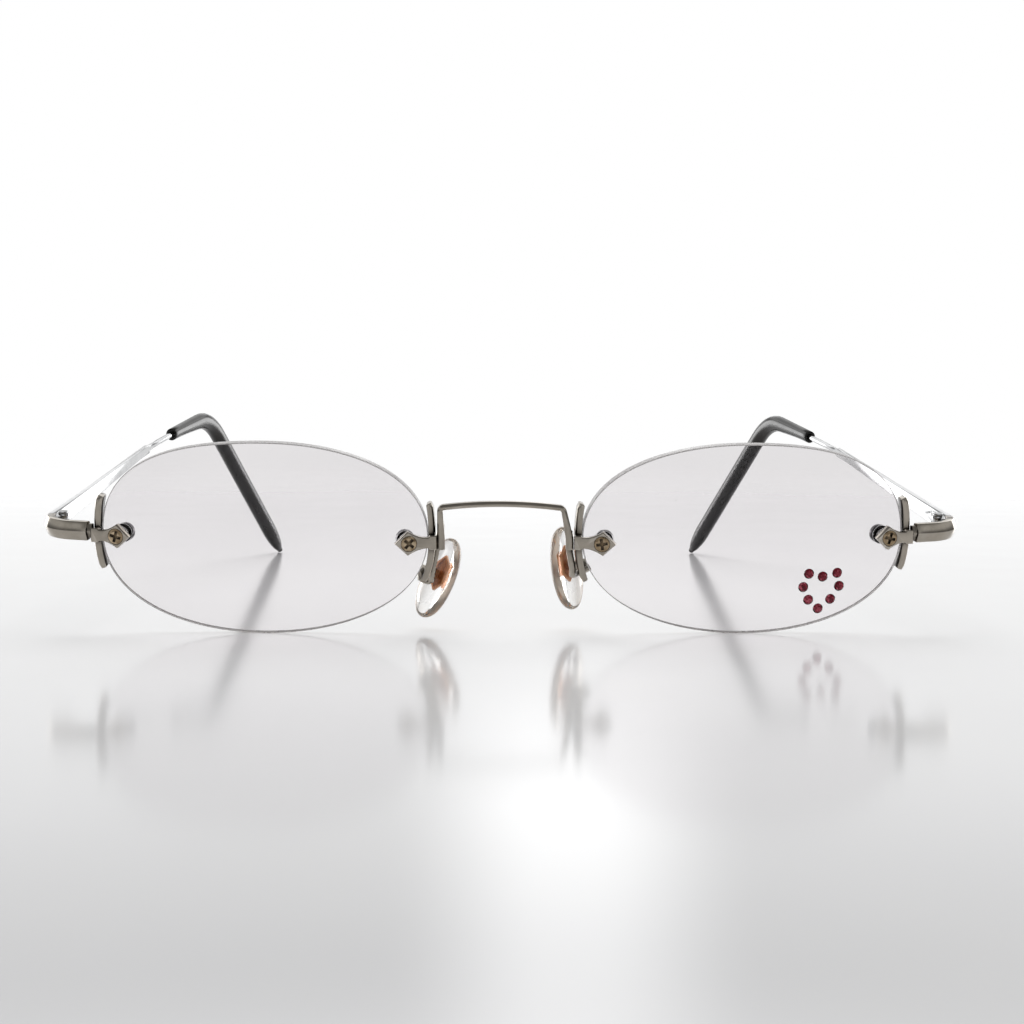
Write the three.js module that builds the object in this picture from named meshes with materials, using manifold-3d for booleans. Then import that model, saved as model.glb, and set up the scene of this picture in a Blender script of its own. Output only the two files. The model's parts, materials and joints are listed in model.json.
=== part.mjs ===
// Rimless oval sunglasses, standing open on their lenses and temple tips. Millimetres.
// The worn frame has x to the wearer's left, y backwards and z up, its origin between the lens centres.
// Each side is built for the wearer's left and mirrored for the right.
import * as THREE from "three";
import { mergeVertices } from "three/addons/utils/BufferGeometryUtils.js";
import Module from "manifold-3d";

const wasm = await Module();
wasm.setup();

const rad = THREE.MathUtils.degToRad;

// Clearances
const SEAM = 0.03; // between soldered or clamped faces
const EDGE_CLEARANCE = 0.06; // lens edge to brace
const RUNNING_CLEARANCE = 0.05; // faces and bores that turn on each other
const SLEEVE_CLEARANCE = 0.06; // wire in the tip, insert in the pad

// Lenses
const LENS_WIDTH = 48;
const LENS_HEIGHT = 28.5;
const LENS_GAP = 22.9; // between the two lenses at the nose
const LENS_THICKNESS = 1.9;
const LENS_RADIUS = 100; // front curve
const FACE_FORM = rad(2); // each lens turns back at its temple side
const POLE_FULLNESS = 0.53; // of the outline beside its top and bottom, where 0.552 is an ellipse
const CORNER_FULLNESS = 0.66; // beside its ends
const SHOULDER_FULLNESS = 0.82; // at the upper temple corner

// Lens mounts
const NOSE_HOLE_INSET = 3.0; // hole centre to lens edge
const TEMPLE_HOLE_INSET = 2.7;
const NOSE_HOLE_HEIGHT = -0.5; // above the lens centre
const TEMPLE_HOLE_HEIGHT = 0.15;
const STRAP_THICKNESS = 1.1;
const STRAP_BEVEL = 0.12;
const STRAP_HEAD_HALF = 1.8; // half the diamond's height
const STRAP_HEAD_POINT = 2.05; // screw centre to the diamond's point
const STRAP_HEAD_PEAK = 0.15; // screw centre to the diamond's top corner
const STRAP_NECK_HALF = 0.8;
const STRAP_NECK_END = 0.4; // before the lens edge
const STRAP_ROOT_HALF = 1.05;
const BRACE_LIP = 0.25; // behind the lens edge
const BRACE_CHAMFER = 0.22;
const TEMPLE_BRACE_THICKNESS = 1.1;
const TEMPLE_BRACE_UP = 5.4; // ends above and below the lens centre
const TEMPLE_BRACE_DOWN = 4.6;
const TEMPLE_BRACE_UP_GAP = 0.55; // from the lens edge to the strip's end
const TEMPLE_BRACE_DOWN_GAP = 0.35;
const NOSE_BRACE_THICKNESS = 1.0;
const NOSE_BRACE_UP = 4.6;
const NOSE_BRACE_DOWN = 5.8;
const NOSE_BRACE_UP_GAP = 0.75;
const NOSE_BRACE_DOWN_GAP = 0.85;

// Lens screws, washers, bushings and nuts
const SCREW_HEAD_RADIUS = 1.15;
const SCREW_HEAD_HEIGHT = 0.5;
const SCREW_HEAD_PROUD = 0.12; // above the strap's face
const SCREW_HEAD_CROWN = 0.8; // radius of the head's flat top
const SCREW_SHANK_RADIUS = 0.55;
const CROSS_LENGTH = 1.7;
const CROSS_WIDTH = 0.44;
const CROSS_DEPTH = 0.4;
const CROSS_TURN = {
  left: { temple: rad(15), nose: rad(10) },
  right: { temple: rad(-15), nose: rad(40) },
}; // where each screw stopped
const WASHER_RADIUS = 1.4;
const WASHER_THICKNESS = 0.25;
const BUSHING_WALL = 0.2;
const NUT_RADIUS = 1.38;
const NUT_HEIGHT = 1.35;
const NUT_CHAMFER = 0.3;
const NUT_FLOOR = 0.4; // closes the nut's outer end

// Bridge
const BRIDGE_HEIGHT = 4.75; // bar's ends above the lens centres
const BRIDGE_ARCH = 0.62;
const BRIDGE_BOW = 0.7; // forwards at the middle
const BRIDGE_LEG_LEAN = 0.35; // legs close in by this towards the bar
const BRIDGE_SKEW = 0.6; // bar stands towards the wearer's right, as it is bent in the photo
const BRIDGE_THICKNESS = 0.82;
const BRIDGE_DEPTH = 1.3;
const BRIDGE_CHAMFER = 0.14;
const BRIDGE_RIDGE = 0.3;
const BRIDGE_CORNER = 0.75;
const BRIDGE_LEG_DROP = 1.6; // below the lens centres
const BRIDGE_FOOT = 1.4; // leg's width at its foot, in bar thicknesses

// End pieces and hinges
const END_HEIGHT = 2.8;
const END_THICKNESS = 1.65;
const END_RIDGE = 0.5;
const END_LEVEL = 0.6; // bar's middle above the lens centres
const END_PROUD = 0.15; // ridge in front of the strap's face
const END_NECK = 0.55; // groove beside the strap
const END_NECK_RECESS = 0.35;
const END_NECK_RAMP = 0.1;
const END_RUN = 3.3; // straight, before the corner
const END_CORNER = 4.5; // inner radius
const BUTT_GAP = 0.05; // end piece to temple, open
const PIN_OFFSET = 1.0; // hinge pin inside the bar's inner face
const KNUCKLE_RADIUS = 0.9;
const KNUCKLE_HEIGHT = 0.88;
const PIN_RADIUS = 0.4;
const PIN_HEAD_RADIUS = 0.72;
const PIN_HEAD_HEIGHT = 0.4;
const PIN_SLOT_WIDTH = 0.22;
const LEAF_THICKNESS = 0.6;
const LEAF_CHAMFER = 0.05;
const LEAF_MARGIN = 0.35; // temple leaf inside the temple's edges
const FRONT_LEAF_LENGTH = 2.4;
const TEMPLE_LEAF_LENGTH = 4.2;

// Temples, measured along their length from the hinge
const TOE_IN = rad(3.8);
const TEMPLE_RISE = rad(0.7);
const BLADE_LENGTH = 60.5;
const BLADE_REAR_HEIGHT = 1.6;
const BLADE_REAR_THICKNESS = 1.15;
const WIRE_SIZE = 1.0;
const WIRE_SHOULDER = 1.2; // blade narrows to wire in this length
const BOW_START = 50; // the temple curves inward from here to the bend
const BOW_RADIUS = 240;
const TIP_START = 76.4;
const BEND_AT = 97;
const BEND_ANGLE = rad(48.5);
const BEND_RADIUS = 13;
const TEMPLE_LENGTH = 142.5;
const WIRE_END_COVER = 20; // of tip beyond the wire
const TIP_START_HEIGHT = 2.3;
const TIP_START_WIDTH = 2.1;
const TIP_HEIGHT = 3.8;
const TIP_WIDTH = 2.9;
const TIP_SWELL = 30; // length over which the tip grows
const TIP_TAPER = 8; // length of the rounded end
const TIP_END_SIZE = 1.2;

// Nose pads
const PAD_INSET = 0.1; // pivot from the nose edge of the lens
const PAD_BACK = 8.2; // pivot behind the lenses
const PAD_DROP = 6.0; // pivot below the lens centres
const PAD_SPLAY = rad(32); // the rear edges stand wider apart
const PAD_TILT = rad(18); // tops stand closer together, at mid travel
const LEFT_PAD_TILT = rad(10); // as they stand in the photo
const RIGHT_PAD_TILT = rad(26);
const PAD_UNEVENNESS = 0.5; // left pad up and right pad down, from bent arms
const PAD_LENGTH = 12.8;
const PAD_WIDTH = 7.5;
const PAD_THICKNESS = 2.3;
const PAD_SAG = 0.4; // pad's middle below the pivot
const PAD_STANDOFF = 1.25; // pivot to the pad's outer face
const INSERT_LENGTH = 5.6;
const INSERT_WIDTH = 3.0;
const INSERT_POINT = 1.3; // height of the hexagon's pointed ends
const INSERT_THICKNESS = 0.7;
const INSERT_DEPTH = 0.4; // moulded in, below the pad's outer face
const INSERT_FORWARD = 0.6; // plate's middle from the pivot
const INSERT_LIFT = 0.4;
const INSERT_FRAME = 0.45; // raised border round the plate
const INSERT_RECESS = 0.3;
const LUG_RADIUS = 0.6;
const LUG_WIDTH = 1.0;
const PAD_PIN_RADIUS = 0.3;
const PAD_PIN_HEAD_RADIUS = 0.52;
const PAD_PIN_HEAD_HEIGHT = 0.28;
const BOX_WALL = 0.4;
const BOX_HALF = 0.75;
const PAD_WIRE_RADIUS = 0.5;
const PAD_WIRE_TOP = 1; // above the lens centres
const PAD_WIRE_BEND = 0.8; // radius of the U bend
const PAD_WIRE_SWING = 0.7; // beyond the box, where the wire turns in
const LEFT_ARM_LOW = 6.9; // bottom of the U bend below the lens centres
const LEFT_ARM_SPREAD = 0.6; // outward on its way down
const RIGHT_ARM_LOW = 7.7;
const RIGHT_ARM_SPREAD = 1.5;
const RIGHT_ARM_SHOULDER = 0.45; // bent outward behind the brace, as in the photo
const RIGHT_ARM_BACK = 3.7;

// Heart of stones on the wearer's left lens
const STONE_RADIUS = 0.78;
const STONE_GIRDLE = 0.14;
const STONE_HEIGHT = 0.56;
const STONE_TABLE = 0.42; // radius of the flat top
const HEART_ACROSS = 11.5; // heart's middle from the lens centre
const HEART_DOWN = 7.65;
const HEART_LEAN = 0.09; // sideways for each step up

// Facets
const ROUND_SIDES = 16;
const SMALL_SIDES = 12;
const TIP_SIDES = 18;
const QUARTER_STEPS = 11;
const WIRE_STEPS = 20;
const EDGE_CHAMFER = 0.15; // inner edges of the bars
const RIDGE_FLAT = 0.08; // half the width of a ridge's top

// Values worked out from the sizes above
const lensHalf = LENS_WIDTH / 2;
const lensCentre = (LENS_GAP + LENS_WIDTH) / 2;
const strapBack = -(2 * SEAM + WASHER_THICKNESS);
const strapFront = strapBack - STRAP_THICKNESS;
const lensHoleRadius = SCREW_SHANK_RADIUS + BUSHING_WALL + 2 * RUNNING_CLEARANCE;
const nutSeat = LENS_THICKNESS + WASHER_THICKNESS + 3 * SEAM;

// Closed solids from geometry, and geometry from solids

function toSolid(geometry) {
  const bare = geometry.clone();
  bare.deleteAttribute("normal");
  bare.deleteAttribute("uv");
  const merged = mergeVertices(bare, 1e-4);
  const triVerts = new Uint32Array(merged.index.array);
  const vertProperties = merged.attributes.position.array;
  return new wasm.Manifold(new wasm.Mesh({ numProp: 3, vertProperties, triVerts }));
}

function toGeometry(solid) {
  const mesh = solid.getMesh();
  const geometry = new THREE.BufferGeometry();
  geometry.setAttribute("position", new THREE.BufferAttribute(mesh.vertProperties, 3));
  geometry.setIndex(new THREE.BufferAttribute(mesh.triVerts, 1));
  geometry.computeVertexNormals();
  return geometry;
}

function join(...geometries) {
  return toGeometry(geometries.map(toSolid).reduce((whole, piece) => whole.add(piece)));
}

function cut(geometry, ...cutters) {
  const whole = toSolid(geometry);
  return toGeometry(cutters.map(toSolid).reduce((left, cutter) => left.subtract(cutter), whole));
}

// A skin over a row of rings with equal point counts, closed by a fan at each end.
function loft(rings) {
  const size = rings[0].length;
  const middle = (ring) => ring.reduce((sum, p) => sum.add(p), new THREE.Vector3()).divideScalar(size);
  const points = [...rings.flat(), middle(rings[0]), middle(rings.at(-1))];
  const firstMiddle = points.length - 2;
  const lastMiddle = points.length - 1;
  const lastRing = (rings.length - 1) * size;
  const faces = [];
  for (let i = 0; i < size; i++) {
    const next = (i + 1) % size;
    faces.push(firstMiddle, next, i, lastMiddle, lastRing + i, lastRing + next);
    for (let row = 0; row < lastRing; row += size) {
      faces.push(row + i, row + next, row + size + i);
      faces.push(row + next, row + size + next, row + size + i);
    }
  }
  if (signedVolume(points, faces) < 0) faces.reverse();
  const geometry = new THREE.BufferGeometry().setFromPoints(points);
  geometry.setIndex(faces);
  geometry.computeVertexNormals();
  return geometry;
}

function signedVolume(points, faces) {
  const normal = new THREE.Vector3();
  let sum = 0;
  for (let i = 0; i < faces.length; i += 3) {
    normal.crossVectors(points[faces[i + 1]], points[faces[i + 2]]);
    sum += points[faces[i]].dot(normal) / 6;
  }
  return sum;
}

// A turned piece about the y axis, from [radius, y] pairs given towards +y.
function turned(profile, sides) {
  return new THREE.LatheGeometry(profile.map(([r, y]) => new THREE.Vector2(r, y)), sides);
}

function cylinder(radius, fromY, toY, sides) {
  return turned([[0, fromY], [radius, fromY], [radius, toY], [0, toY]], sides);
}

function block(from, to) {
  const size = new THREE.Vector3().subVectors(to, from);
  const centre = new THREE.Vector3().addVectors(from, to).divideScalar(2);
  return new THREE.BoxGeometry(size.x, size.y, size.z).translate(centre.x, centre.y, centre.z);
}

// A wire of round section along a curve.
function wire(curve, radius, steps, sides) {
  const { normals, binormals } = curve.computeFrenetFrames(steps, false);
  const rings = [];
  for (let i = 0; i <= steps; i++) {
    const centre = curve.getPointAt(i / steps);
    const ring = [];
    for (let k = 0; k < sides; k++) {
      const angle = (2 * Math.PI * k) / sides;
      const offset = normals[i].clone().multiplyScalar(radius * Math.cos(angle));
      offset.addScaledVector(binormals[i], radius * Math.sin(angle));
      ring.push(offset.add(centre));
    }
    rings.push(ring);
  }
  return loft(rings);
}

// An eight-point bar section as [out, up] pairs: flat inner face at out = 0, ridge outside.
function barSection(height, thickness, ridge, chamfer) {
  const half = height / 2;
  const flat = ridge > chamfer ? RIDGE_FLAT : half - chamfer;
  return [
    [0, chamfer - half],
    [chamfer, -half],
    [thickness - ridge, -half],
    [thickness, -flat],
    [thickness, flat],
    [thickness - ridge, half],
    [chamfer, half],
    [0, half - chamfer],
  ];
}

// Materials, with the colours that the photo shows

function material(color, roughness, metalness, more = {}) {
  return new THREE.MeshStandardMaterial({ color, roughness, metalness, ...more });
}

const looks = {
  lens: () => material(0xe6dfe2, 0.05, 0, { transparent: true, opacity: 0.4 }),
  nickel: () => material(0x9a948a, 0.22, 1),
  screw: () => material(0x9c8a6a, 0.3, 1),
  nut: () => material(0x6e6a64, 0.3, 1),
  clear: () => material(0xe9e7e2, 0.2, 0, { transparent: true, opacity: 0.5 }),
  copper: () => material(0xa8764f, 0.35, 1),
  tip: () => material(0x1d1b1a, 0.2, 0),
  stone: () => material(0x7a1626, 0.08, 0),
};

function piece(name, geometry, look) {
  const mesh = new THREE.Mesh(geometry, look());
  mesh.name = name;
  return mesh;
}

// Lens outline and curves, in the lens frame: x to the temple, y back, z up, origin at the front's middle

const lensTop = new THREE.Vector2(0, LENS_HEIGHT / 2);
const lensBottom = new THREE.Vector2(0, -LENS_HEIGHT / 2);
const lensTemple = new THREE.Vector2(lensHalf, 0);
const lensNose = new THREE.Vector2(-lensHalf, 0);

// A quarter of the outline from an end to the top or the bottom.
function quarter(side, pole, fullness) {
  const sideHandle = new THREE.Vector2(side.x, pole.y * fullness);
  const poleHandle = new THREE.Vector2(side.x * POLE_FULLNESS, pole.y);
  return new THREE.CubicBezierCurve(side, sideHandle, poleHandle, pole);
}

const quarters = {
  templeUp: quarter(lensTemple, lensTop, SHOULDER_FULLNESS),
  templeDown: quarter(lensTemple, lensBottom, CORNER_FULLNESS),
  noseUp: quarter(lensNose, lensTop, CORNER_FULLNESS),
  noseDown: quarter(lensNose, lensBottom, CORNER_FULLNESS),
};

function lensOutline() {
  return [
    ...quarters.templeUp.getPoints(QUARTER_STEPS),
    ...quarters.noseUp.getPoints(QUARTER_STEPS).reverse().slice(1),
    ...quarters.noseDown.getPoints(QUARTER_STEPS).slice(1),
    ...quarters.templeDown.getPoints(QUARTER_STEPS).reverse().slice(1, -1),
  ];
}

// Depth of a lens surface at a point; the back is concentric with the front.
function surfaceDepth(x, z, thickness) {
  const radius = LENS_RADIUS - thickness;
  return LENS_RADIUS - Math.sqrt(radius * radius - x * x - z * z);
}

// The lens edge at a height, on the temple (+1) or nose (-1) side, with its outward direction.
function lensEdge(side, z) {
  const up = side > 0 ? quarters.templeUp : quarters.noseUp;
  const down = side > 0 ? quarters.templeDown : quarters.noseDown;
  const curve = z >= 0 ? up : down;
  let low = 0;
  let high = 1;
  for (let i = 0; i < 40; i++) {
    const mid = (low + high) / 2;
    if (Math.abs(curve.getPoint(mid).y) < Math.abs(z)) low = mid;
    else high = mid;
  }
  const along = curve.getTangent(low);
  const outward = new THREE.Vector2(along.y, -along.x);
  if (outward.x * side < 0) outward.negate();
  return { x: curve.getPoint(low).x, outward };
}

// A point on the front surface, with the direction square into the lens there.
function frontPoint(x, z) {
  const origin = new THREE.Vector3(x, surfaceDepth(x, z, 0), z);
  const back = new THREE.Vector3(0, LENS_RADIUS, 0).sub(origin).normalize();
  return { origin, back };
}

// The turn that lays the y axis along a direction.
function squareTo(back) {
  return new THREE.Quaternion().setFromUnitVectors(new THREE.Vector3(0, 1, 0), back);
}

// A lens mount's frame: y is the screw's axis, x runs to the nearest lens edge, z is up.
function lensMountFrame(side, inset, height) {
  const { origin, back } = frontPoint(side * (lensHalf - inset), height);
  const up = new THREE.Vector3(0, 0, 1);
  up.addScaledVector(back, -up.dot(back)).normalize();
  const along = new THREE.Vector3().crossVectors(back, up).multiplyScalar(side);
  const matrix = new THREE.Matrix4().makeBasis(along, back, up).setPosition(origin);
  return { side, matrix, origin, back, along, reach: inset / Math.abs(along.x) };
}

const mounts = {
  temple: {
    ...lensMountFrame(1, TEMPLE_HOLE_INSET, TEMPLE_HOLE_HEIGHT),
    thickness: TEMPLE_BRACE_THICKNESS,
    up: { end: TEMPLE_BRACE_UP, gap: TEMPLE_BRACE_UP_GAP },
    down: { end: TEMPLE_BRACE_DOWN, gap: TEMPLE_BRACE_DOWN_GAP },
  },
  nose: {
    ...lensMountFrame(-1, NOSE_HOLE_INSET, NOSE_HOLE_HEIGHT),
    thickness: NOSE_BRACE_THICKNESS,
    up: { end: NOSE_BRACE_UP, gap: NOSE_BRACE_UP_GAP },
    down: { end: NOSE_BRACE_DOWN, gap: NOSE_BRACE_DOWN_GAP },
  },
};

// From the lens frame to the worn frame.
const lensPlace = new THREE.Matrix4().makeRotationZ(FACE_FORM).setPosition(lensCentre, 0, 0);

function lens(name) {
  const outline = lensOutline();
  const shares = [0.15, 0.45, 0.7, 0.86, 1];
  const ring = (share, thickness) =>
    outline.map(({ x, y }) => {
      const depth = surfaceDepth(share * x, share * y, thickness);
      return new THREE.Vector3(share * x, depth, share * y);
    });
  const front = shares.map((share) => ring(share, 0));
  const back = shares.map((share) => ring(share, LENS_THICKNESS)).reverse();
  const drill = (mount) => {
    const cutter = cylinder(lensHoleRadius, -LENS_THICKNESS, 2 * LENS_THICKNESS, SMALL_SIDES);
    return cutter.applyQuaternion(squareTo(mount.back)).translate(...mount.origin);
  };
  return piece(name, cut(loft([...front, ...back]), drill(mounts.temple), drill(mounts.nose)), looks.lens);
}

// Strap: diamond head, neck and root, in the mount frame
function strap(name, { reach, thickness }) {
  const rootEnd = reach + EDGE_CLEARANCE + thickness;
  const neckAt = reach - STRAP_NECK_END;
  const half = new THREE.Shape();
  half.moveTo(-STRAP_HEAD_POINT, 0);
  half.lineTo(-STRAP_HEAD_PEAK, -STRAP_HEAD_HALF);
  half.quadraticCurveTo(neckAt / 2, -STRAP_NECK_HALF, neckAt, -STRAP_NECK_HALF);
  half.quadraticCurveTo(reach, -STRAP_NECK_HALF, reach + EDGE_CLEARANCE, -STRAP_ROOT_HALF);
  half.lineTo(rootEnd, -STRAP_ROOT_HALF);
  const lower = half.getPoints(4);
  const upper = lower.slice(1).reverse().map(({ x, y }) => new THREE.Vector2(x, -y));
  const shape = new THREE.Shape(insetOutline([...lower, ...upper], STRAP_BEVEL));
  const plate = new THREE.ExtrudeGeometry(shape, {
    depth: STRAP_THICKNESS - 2 * STRAP_BEVEL,
    bevelThickness: STRAP_BEVEL,
    bevelSize: STRAP_BEVEL,
    bevelSegments: 1,
  });
  plate.rotateX(Math.PI / 2).translate(0, strapBack - STRAP_BEVEL, 0);
  const seat = strapFront + SCREW_HEAD_HEIGHT - SCREW_HEAD_PROUD + SEAM;
  const counterbore = cylinder(SCREW_HEAD_RADIUS + RUNNING_CLEARANCE, strapFront - 1, seat, ROUND_SIDES);
  const bore = cylinder(SCREW_SHANK_RADIUS + RUNNING_CLEARANCE, strapFront - 1, strapBack + 1, SMALL_SIDES);
  return piece(name, cut(plate, counterbore, bore), looks.nickel);
}

// The outline moved inwards by a margin, for a bevel that grows back to it.
function insetOutline(points, margin) {
  return points.map((p, i) => {
    const before = points[(i + points.length - 1) % points.length];
    const after = points[(i + 1) % points.length];
    const a = new THREE.Vector2().subVectors(p, before).normalize();
    const b = new THREE.Vector2().subVectors(after, p).normalize();
    const left = new THREE.Vector2(-a.y - b.y, a.x + b.x).normalize();
    const share = Math.max(0.4, left.dot(new THREE.Vector2(-a.y, a.x)));
    return p.clone().addScaledVector(left, margin / share);
  });
}

// Brace: a strip along the lens edge in the lens frame, its front on the strap's back, its ends standing off
function brace(name, mount) {
  const { side, origin, back, thickness, up, down } = mount;
  const frontDepth = (x, z) =>
    origin.y + (strapBack + SEAM - (x - origin.x) * back.x - (z - origin.z) * back.z) / back.y;
  const levels = 16;
  const rings = [];
  for (let i = 0; i <= levels; i++) {
    const z = THREE.MathUtils.lerp(-down.end, up.end, i / levels);
    const atEnd = i === 0 || i === levels;
    const half = z > 0 ? up : down;
    const edge = lensEdge(side, z);
    const backDepth = surfaceDepth(edge.x, z, LENS_THICKNESS) + BRACE_LIP;
    const inner = EDGE_CLEARANCE + half.gap * (z / half.end) ** 2;
    const outer = inner + thickness - (atEnd ? BRACE_CHAMFER : 0);
    const corner = (offset, depthShift, atFront) => {
      const x = edge.x + edge.outward.x * offset;
      const height = z + edge.outward.y * offset;
      const depth = atFront ? frontDepth(x, height) + depthShift : backDepth - depthShift;
      return new THREE.Vector3(x, depth, height);
    };
    rings.push([
      corner(inner, 0, true),
      corner(outer - BRACE_CHAMFER, 0, true),
      corner(outer, BRACE_CHAMFER, true),
      corner(outer, BRACE_CHAMFER, false),
      corner(outer - BRACE_CHAMFER, 0, false),
      corner(inner, 0, false),
    ]);
  }
  return piece(name, loft(rings), looks.nickel);
}

// Lens screw with its cross recess
function lensScrew(name, turn) {
  const top = strapFront - SCREW_HEAD_PROUD;
  const under = top + SCREW_HEAD_HEIGHT;
  const end = nutSeat + NUT_HEIGHT - NUT_FLOOR - RUNNING_CLEARANCE;
  const body = turned(
    [
      [0, top],
      [SCREW_HEAD_CROWN, top],
      [SCREW_HEAD_RADIUS, top + SCREW_HEAD_PROUD],
      [SCREW_HEAD_RADIUS, under],
      [SCREW_SHANK_RADIUS, under],
      [SCREW_SHANK_RADIUS, end],
      [0, end],
    ],
    ROUND_SIDES,
  );
  const slot = (angle) =>
    new THREE.BoxGeometry(CROSS_LENGTH, 2 * CROSS_DEPTH, CROSS_WIDTH).rotateY(angle).translate(0, top, 0);
  return piece(name, cut(body, slot(turn), slot(turn + rad(90))), looks.screw);
}

function lensWasher(name) {
  const bore = SCREW_SHANK_RADIUS + RUNNING_CLEARANCE;
  const ring = turned(
    [
      [bore, -SEAM - WASHER_THICKNESS],
      [WASHER_RADIUS, -SEAM - WASHER_THICKNESS],
      [WASHER_RADIUS, -SEAM],
      [bore, -SEAM],
      [bore, -SEAM - WASHER_THICKNESS],
    ],
    ROUND_SIDES,
  );
  return piece(name, ring, looks.clear);
}

// Sleeve in the lens hole with a flange under the nut
function lensBushing(name) {
  const bore = SCREW_SHANK_RADIUS + RUNNING_CLEARANCE;
  const sleeve = bore + BUSHING_WALL;
  const flange = LENS_THICKNESS + 2 * SEAM;
  const ring = turned(
    [
      [bore, SEAM],
      [sleeve, SEAM],
      [sleeve, flange],
      [WASHER_RADIUS, flange],
      [WASHER_RADIUS, flange + WASHER_THICKNESS],
      [bore, flange + WASHER_THICKNESS],
      [bore, SEAM],
    ],
    ROUND_SIDES,
  );
  return piece(name, ring, looks.clear);
}

// Round cap nut, open towards the lens
function lensNut(name) {
  const bore = SCREW_SHANK_RADIUS + RUNNING_CLEARANCE;
  const top = nutSeat + NUT_HEIGHT;
  const cap = turned(
    [
      [0, top - NUT_FLOOR],
      [bore, top - NUT_FLOOR],
      [bore, nutSeat],
      [NUT_RADIUS, nutSeat],
      [NUT_RADIUS, top - NUT_CHAMFER],
      [NUT_RADIUS - NUT_CHAMFER, top],
      [0, top],
    ],
    ROUND_SIDES,
  );
  return piece(name, cap, looks.nut);
}

function lensMount(sideName, place) {
  const group = new THREE.Group();
  group.applyMatrix4(mounts[place].matrix);
  const name = (what) => `${sideName}_${place}_${what}`;
  group.add(strap(name("strap"), mounts[place]));
  group.add(lensScrew(name("lens_screw"), CROSS_TURN[sideName][place]));
  group.add(lensWasher(name("lens_washer")));
  group.add(lensBushing(name("lens_bushing")));
  group.add(lensNut(name("lens_nut")));
  return group;
}

// Stones of the heart, each square to the lens surface
function heartStones() {
  const pairs = [
    [2.17, 2.6],
    [2.76, 0.56],
    [1.7, -1.43],
  ];
  const spots = pairs.flatMap(([x, z]) => [[-x, z], [x, z]]);
  spots.push([0, 2.1], [0, -2.85]);
  const stoneSides = 8;
  return spots.map(([dx, dz], i) => {
    const { origin, back } = frontPoint(HEART_ACROSS + dx + HEART_LEAN * dz, dz - HEART_DOWN);
    const stone = turned(
      [
        [0, -SEAM - STONE_HEIGHT],
        [STONE_TABLE, -SEAM - STONE_HEIGHT],
        [STONE_RADIUS, -SEAM - STONE_GIRDLE],
        [STONE_RADIUS, -SEAM],
        [0, -SEAM],
      ],
      stoneSides,
    );
    const mesh = piece(`heart_stone_${i + 1}`, stone, looks.stone);
    mesh.quaternion.copy(squareTo(back));
    mesh.position.copy(origin);
    return mesh;
  });
}

// Bridge: one ridged bar from leg to leg, in the worn frame

const noseBraceBack = new THREE.Vector3(
  -(lensHalf + EDGE_CLEARANCE + NOSE_BRACE_THICKNESS),
  surfaceDepth(lensHalf, 0, LENS_THICKNESS) + BRACE_LIP,
  0,
).applyMatrix4(lensPlace);
const noseStrapEnd = new THREE.Vector3(
  mounts.nose.reach + EDGE_CLEARANCE + NOSE_BRACE_THICKNESS,
  strapFront,
  0,
).applyMatrix4(mounts.nose.matrix).applyMatrix4(lensPlace);
const legX = Math.min(noseBraceBack.x, noseStrapEnd.x) - SEAM - (BRIDGE_FOOT * BRIDGE_THICKNESS) / 2;
const legBackDepth = noseStrapEnd.y + BRIDGE_DEPTH;

function bridge() {
  const legTopX = legX - BRIDGE_LEG_LEAN;
  const half = [
    [legX, -BRIDGE_LEG_DROP],
    [legX, 0],
  ];
  const cornerSteps = 6;
  for (let i = 0; i <= cornerSteps; i++) {
    const angle = ((Math.PI / 2) * i) / cornerSteps;
    const x = legTopX - BRIDGE_CORNER * (1 - Math.cos(angle));
    half.push([x, BRIDGE_HEIGHT - BRIDGE_CORNER * (1 - Math.sin(angle))]);
  }
  const archHalf = legTopX - BRIDGE_CORNER;
  const archSteps = 8;
  for (let i = 1; i <= archSteps; i++) {
    const x = archHalf * (1 - i / archSteps);
    half.push([x, BRIDGE_HEIGHT + BRIDGE_ARCH * (1 - (x / archHalf) ** 2)]);
  }
  const mirrored = half.slice(0, -1).reverse().map(([x, z]) => [-x, z]);
  const skew = (z) => BRIDGE_SKEW * THREE.MathUtils.clamp(z / BRIDGE_HEIGHT, 0, 1);
  const path = [...half, ...mirrored].map(([x, z]) => new THREE.Vector2(x - skew(z), z));
  const section = barSection(BRIDGE_THICKNESS, BRIDGE_DEPTH, BRIDGE_RIDGE, BRIDGE_CHAMFER);
  const rings = path.map((p, i) => {
    const before = path[Math.max(i - 1, 0)];
    const after = path[Math.min(i + 1, path.length - 1)];
    const along = new THREE.Vector2().subVectors(after, before).normalize();
    const bow = BRIDGE_BOW * Math.max(0, 1 - (p.x / legX) ** 2);
    const swell = p.y > 0 ? 1 : BRIDGE_FOOT;
    return section.map(([out, up]) => {
      const depth = legBackDepth - bow - out;
      return new THREE.Vector3(p.x + along.y * swell * up, depth, p.y - along.x * swell * up);
    });
  });
  return piece("bridge", loft(rings), looks.nickel);
}

// End piece: leaves the temple brace, turns the corner and stops at the hinge, seen in plan

const templeRoot = new THREE.Vector3(
  mounts.temple.reach + 2 * EDGE_CLEARANCE + TEMPLE_BRACE_THICKNESS,
  strapFront - END_PROUD + END_THICKNESS,
  0,
).applyMatrix4(mounts.temple.matrix).applyMatrix4(lensPlace);
const templeAlong = mounts.temple.along.clone().transformDirection(lensPlace);
const endHeading = Math.atan2(templeAlong.y, templeAlong.x);
const endTurn = Math.PI / 2 + TOE_IN - endHeading;
const endLength = END_RUN + END_CORNER * endTurn;

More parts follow.
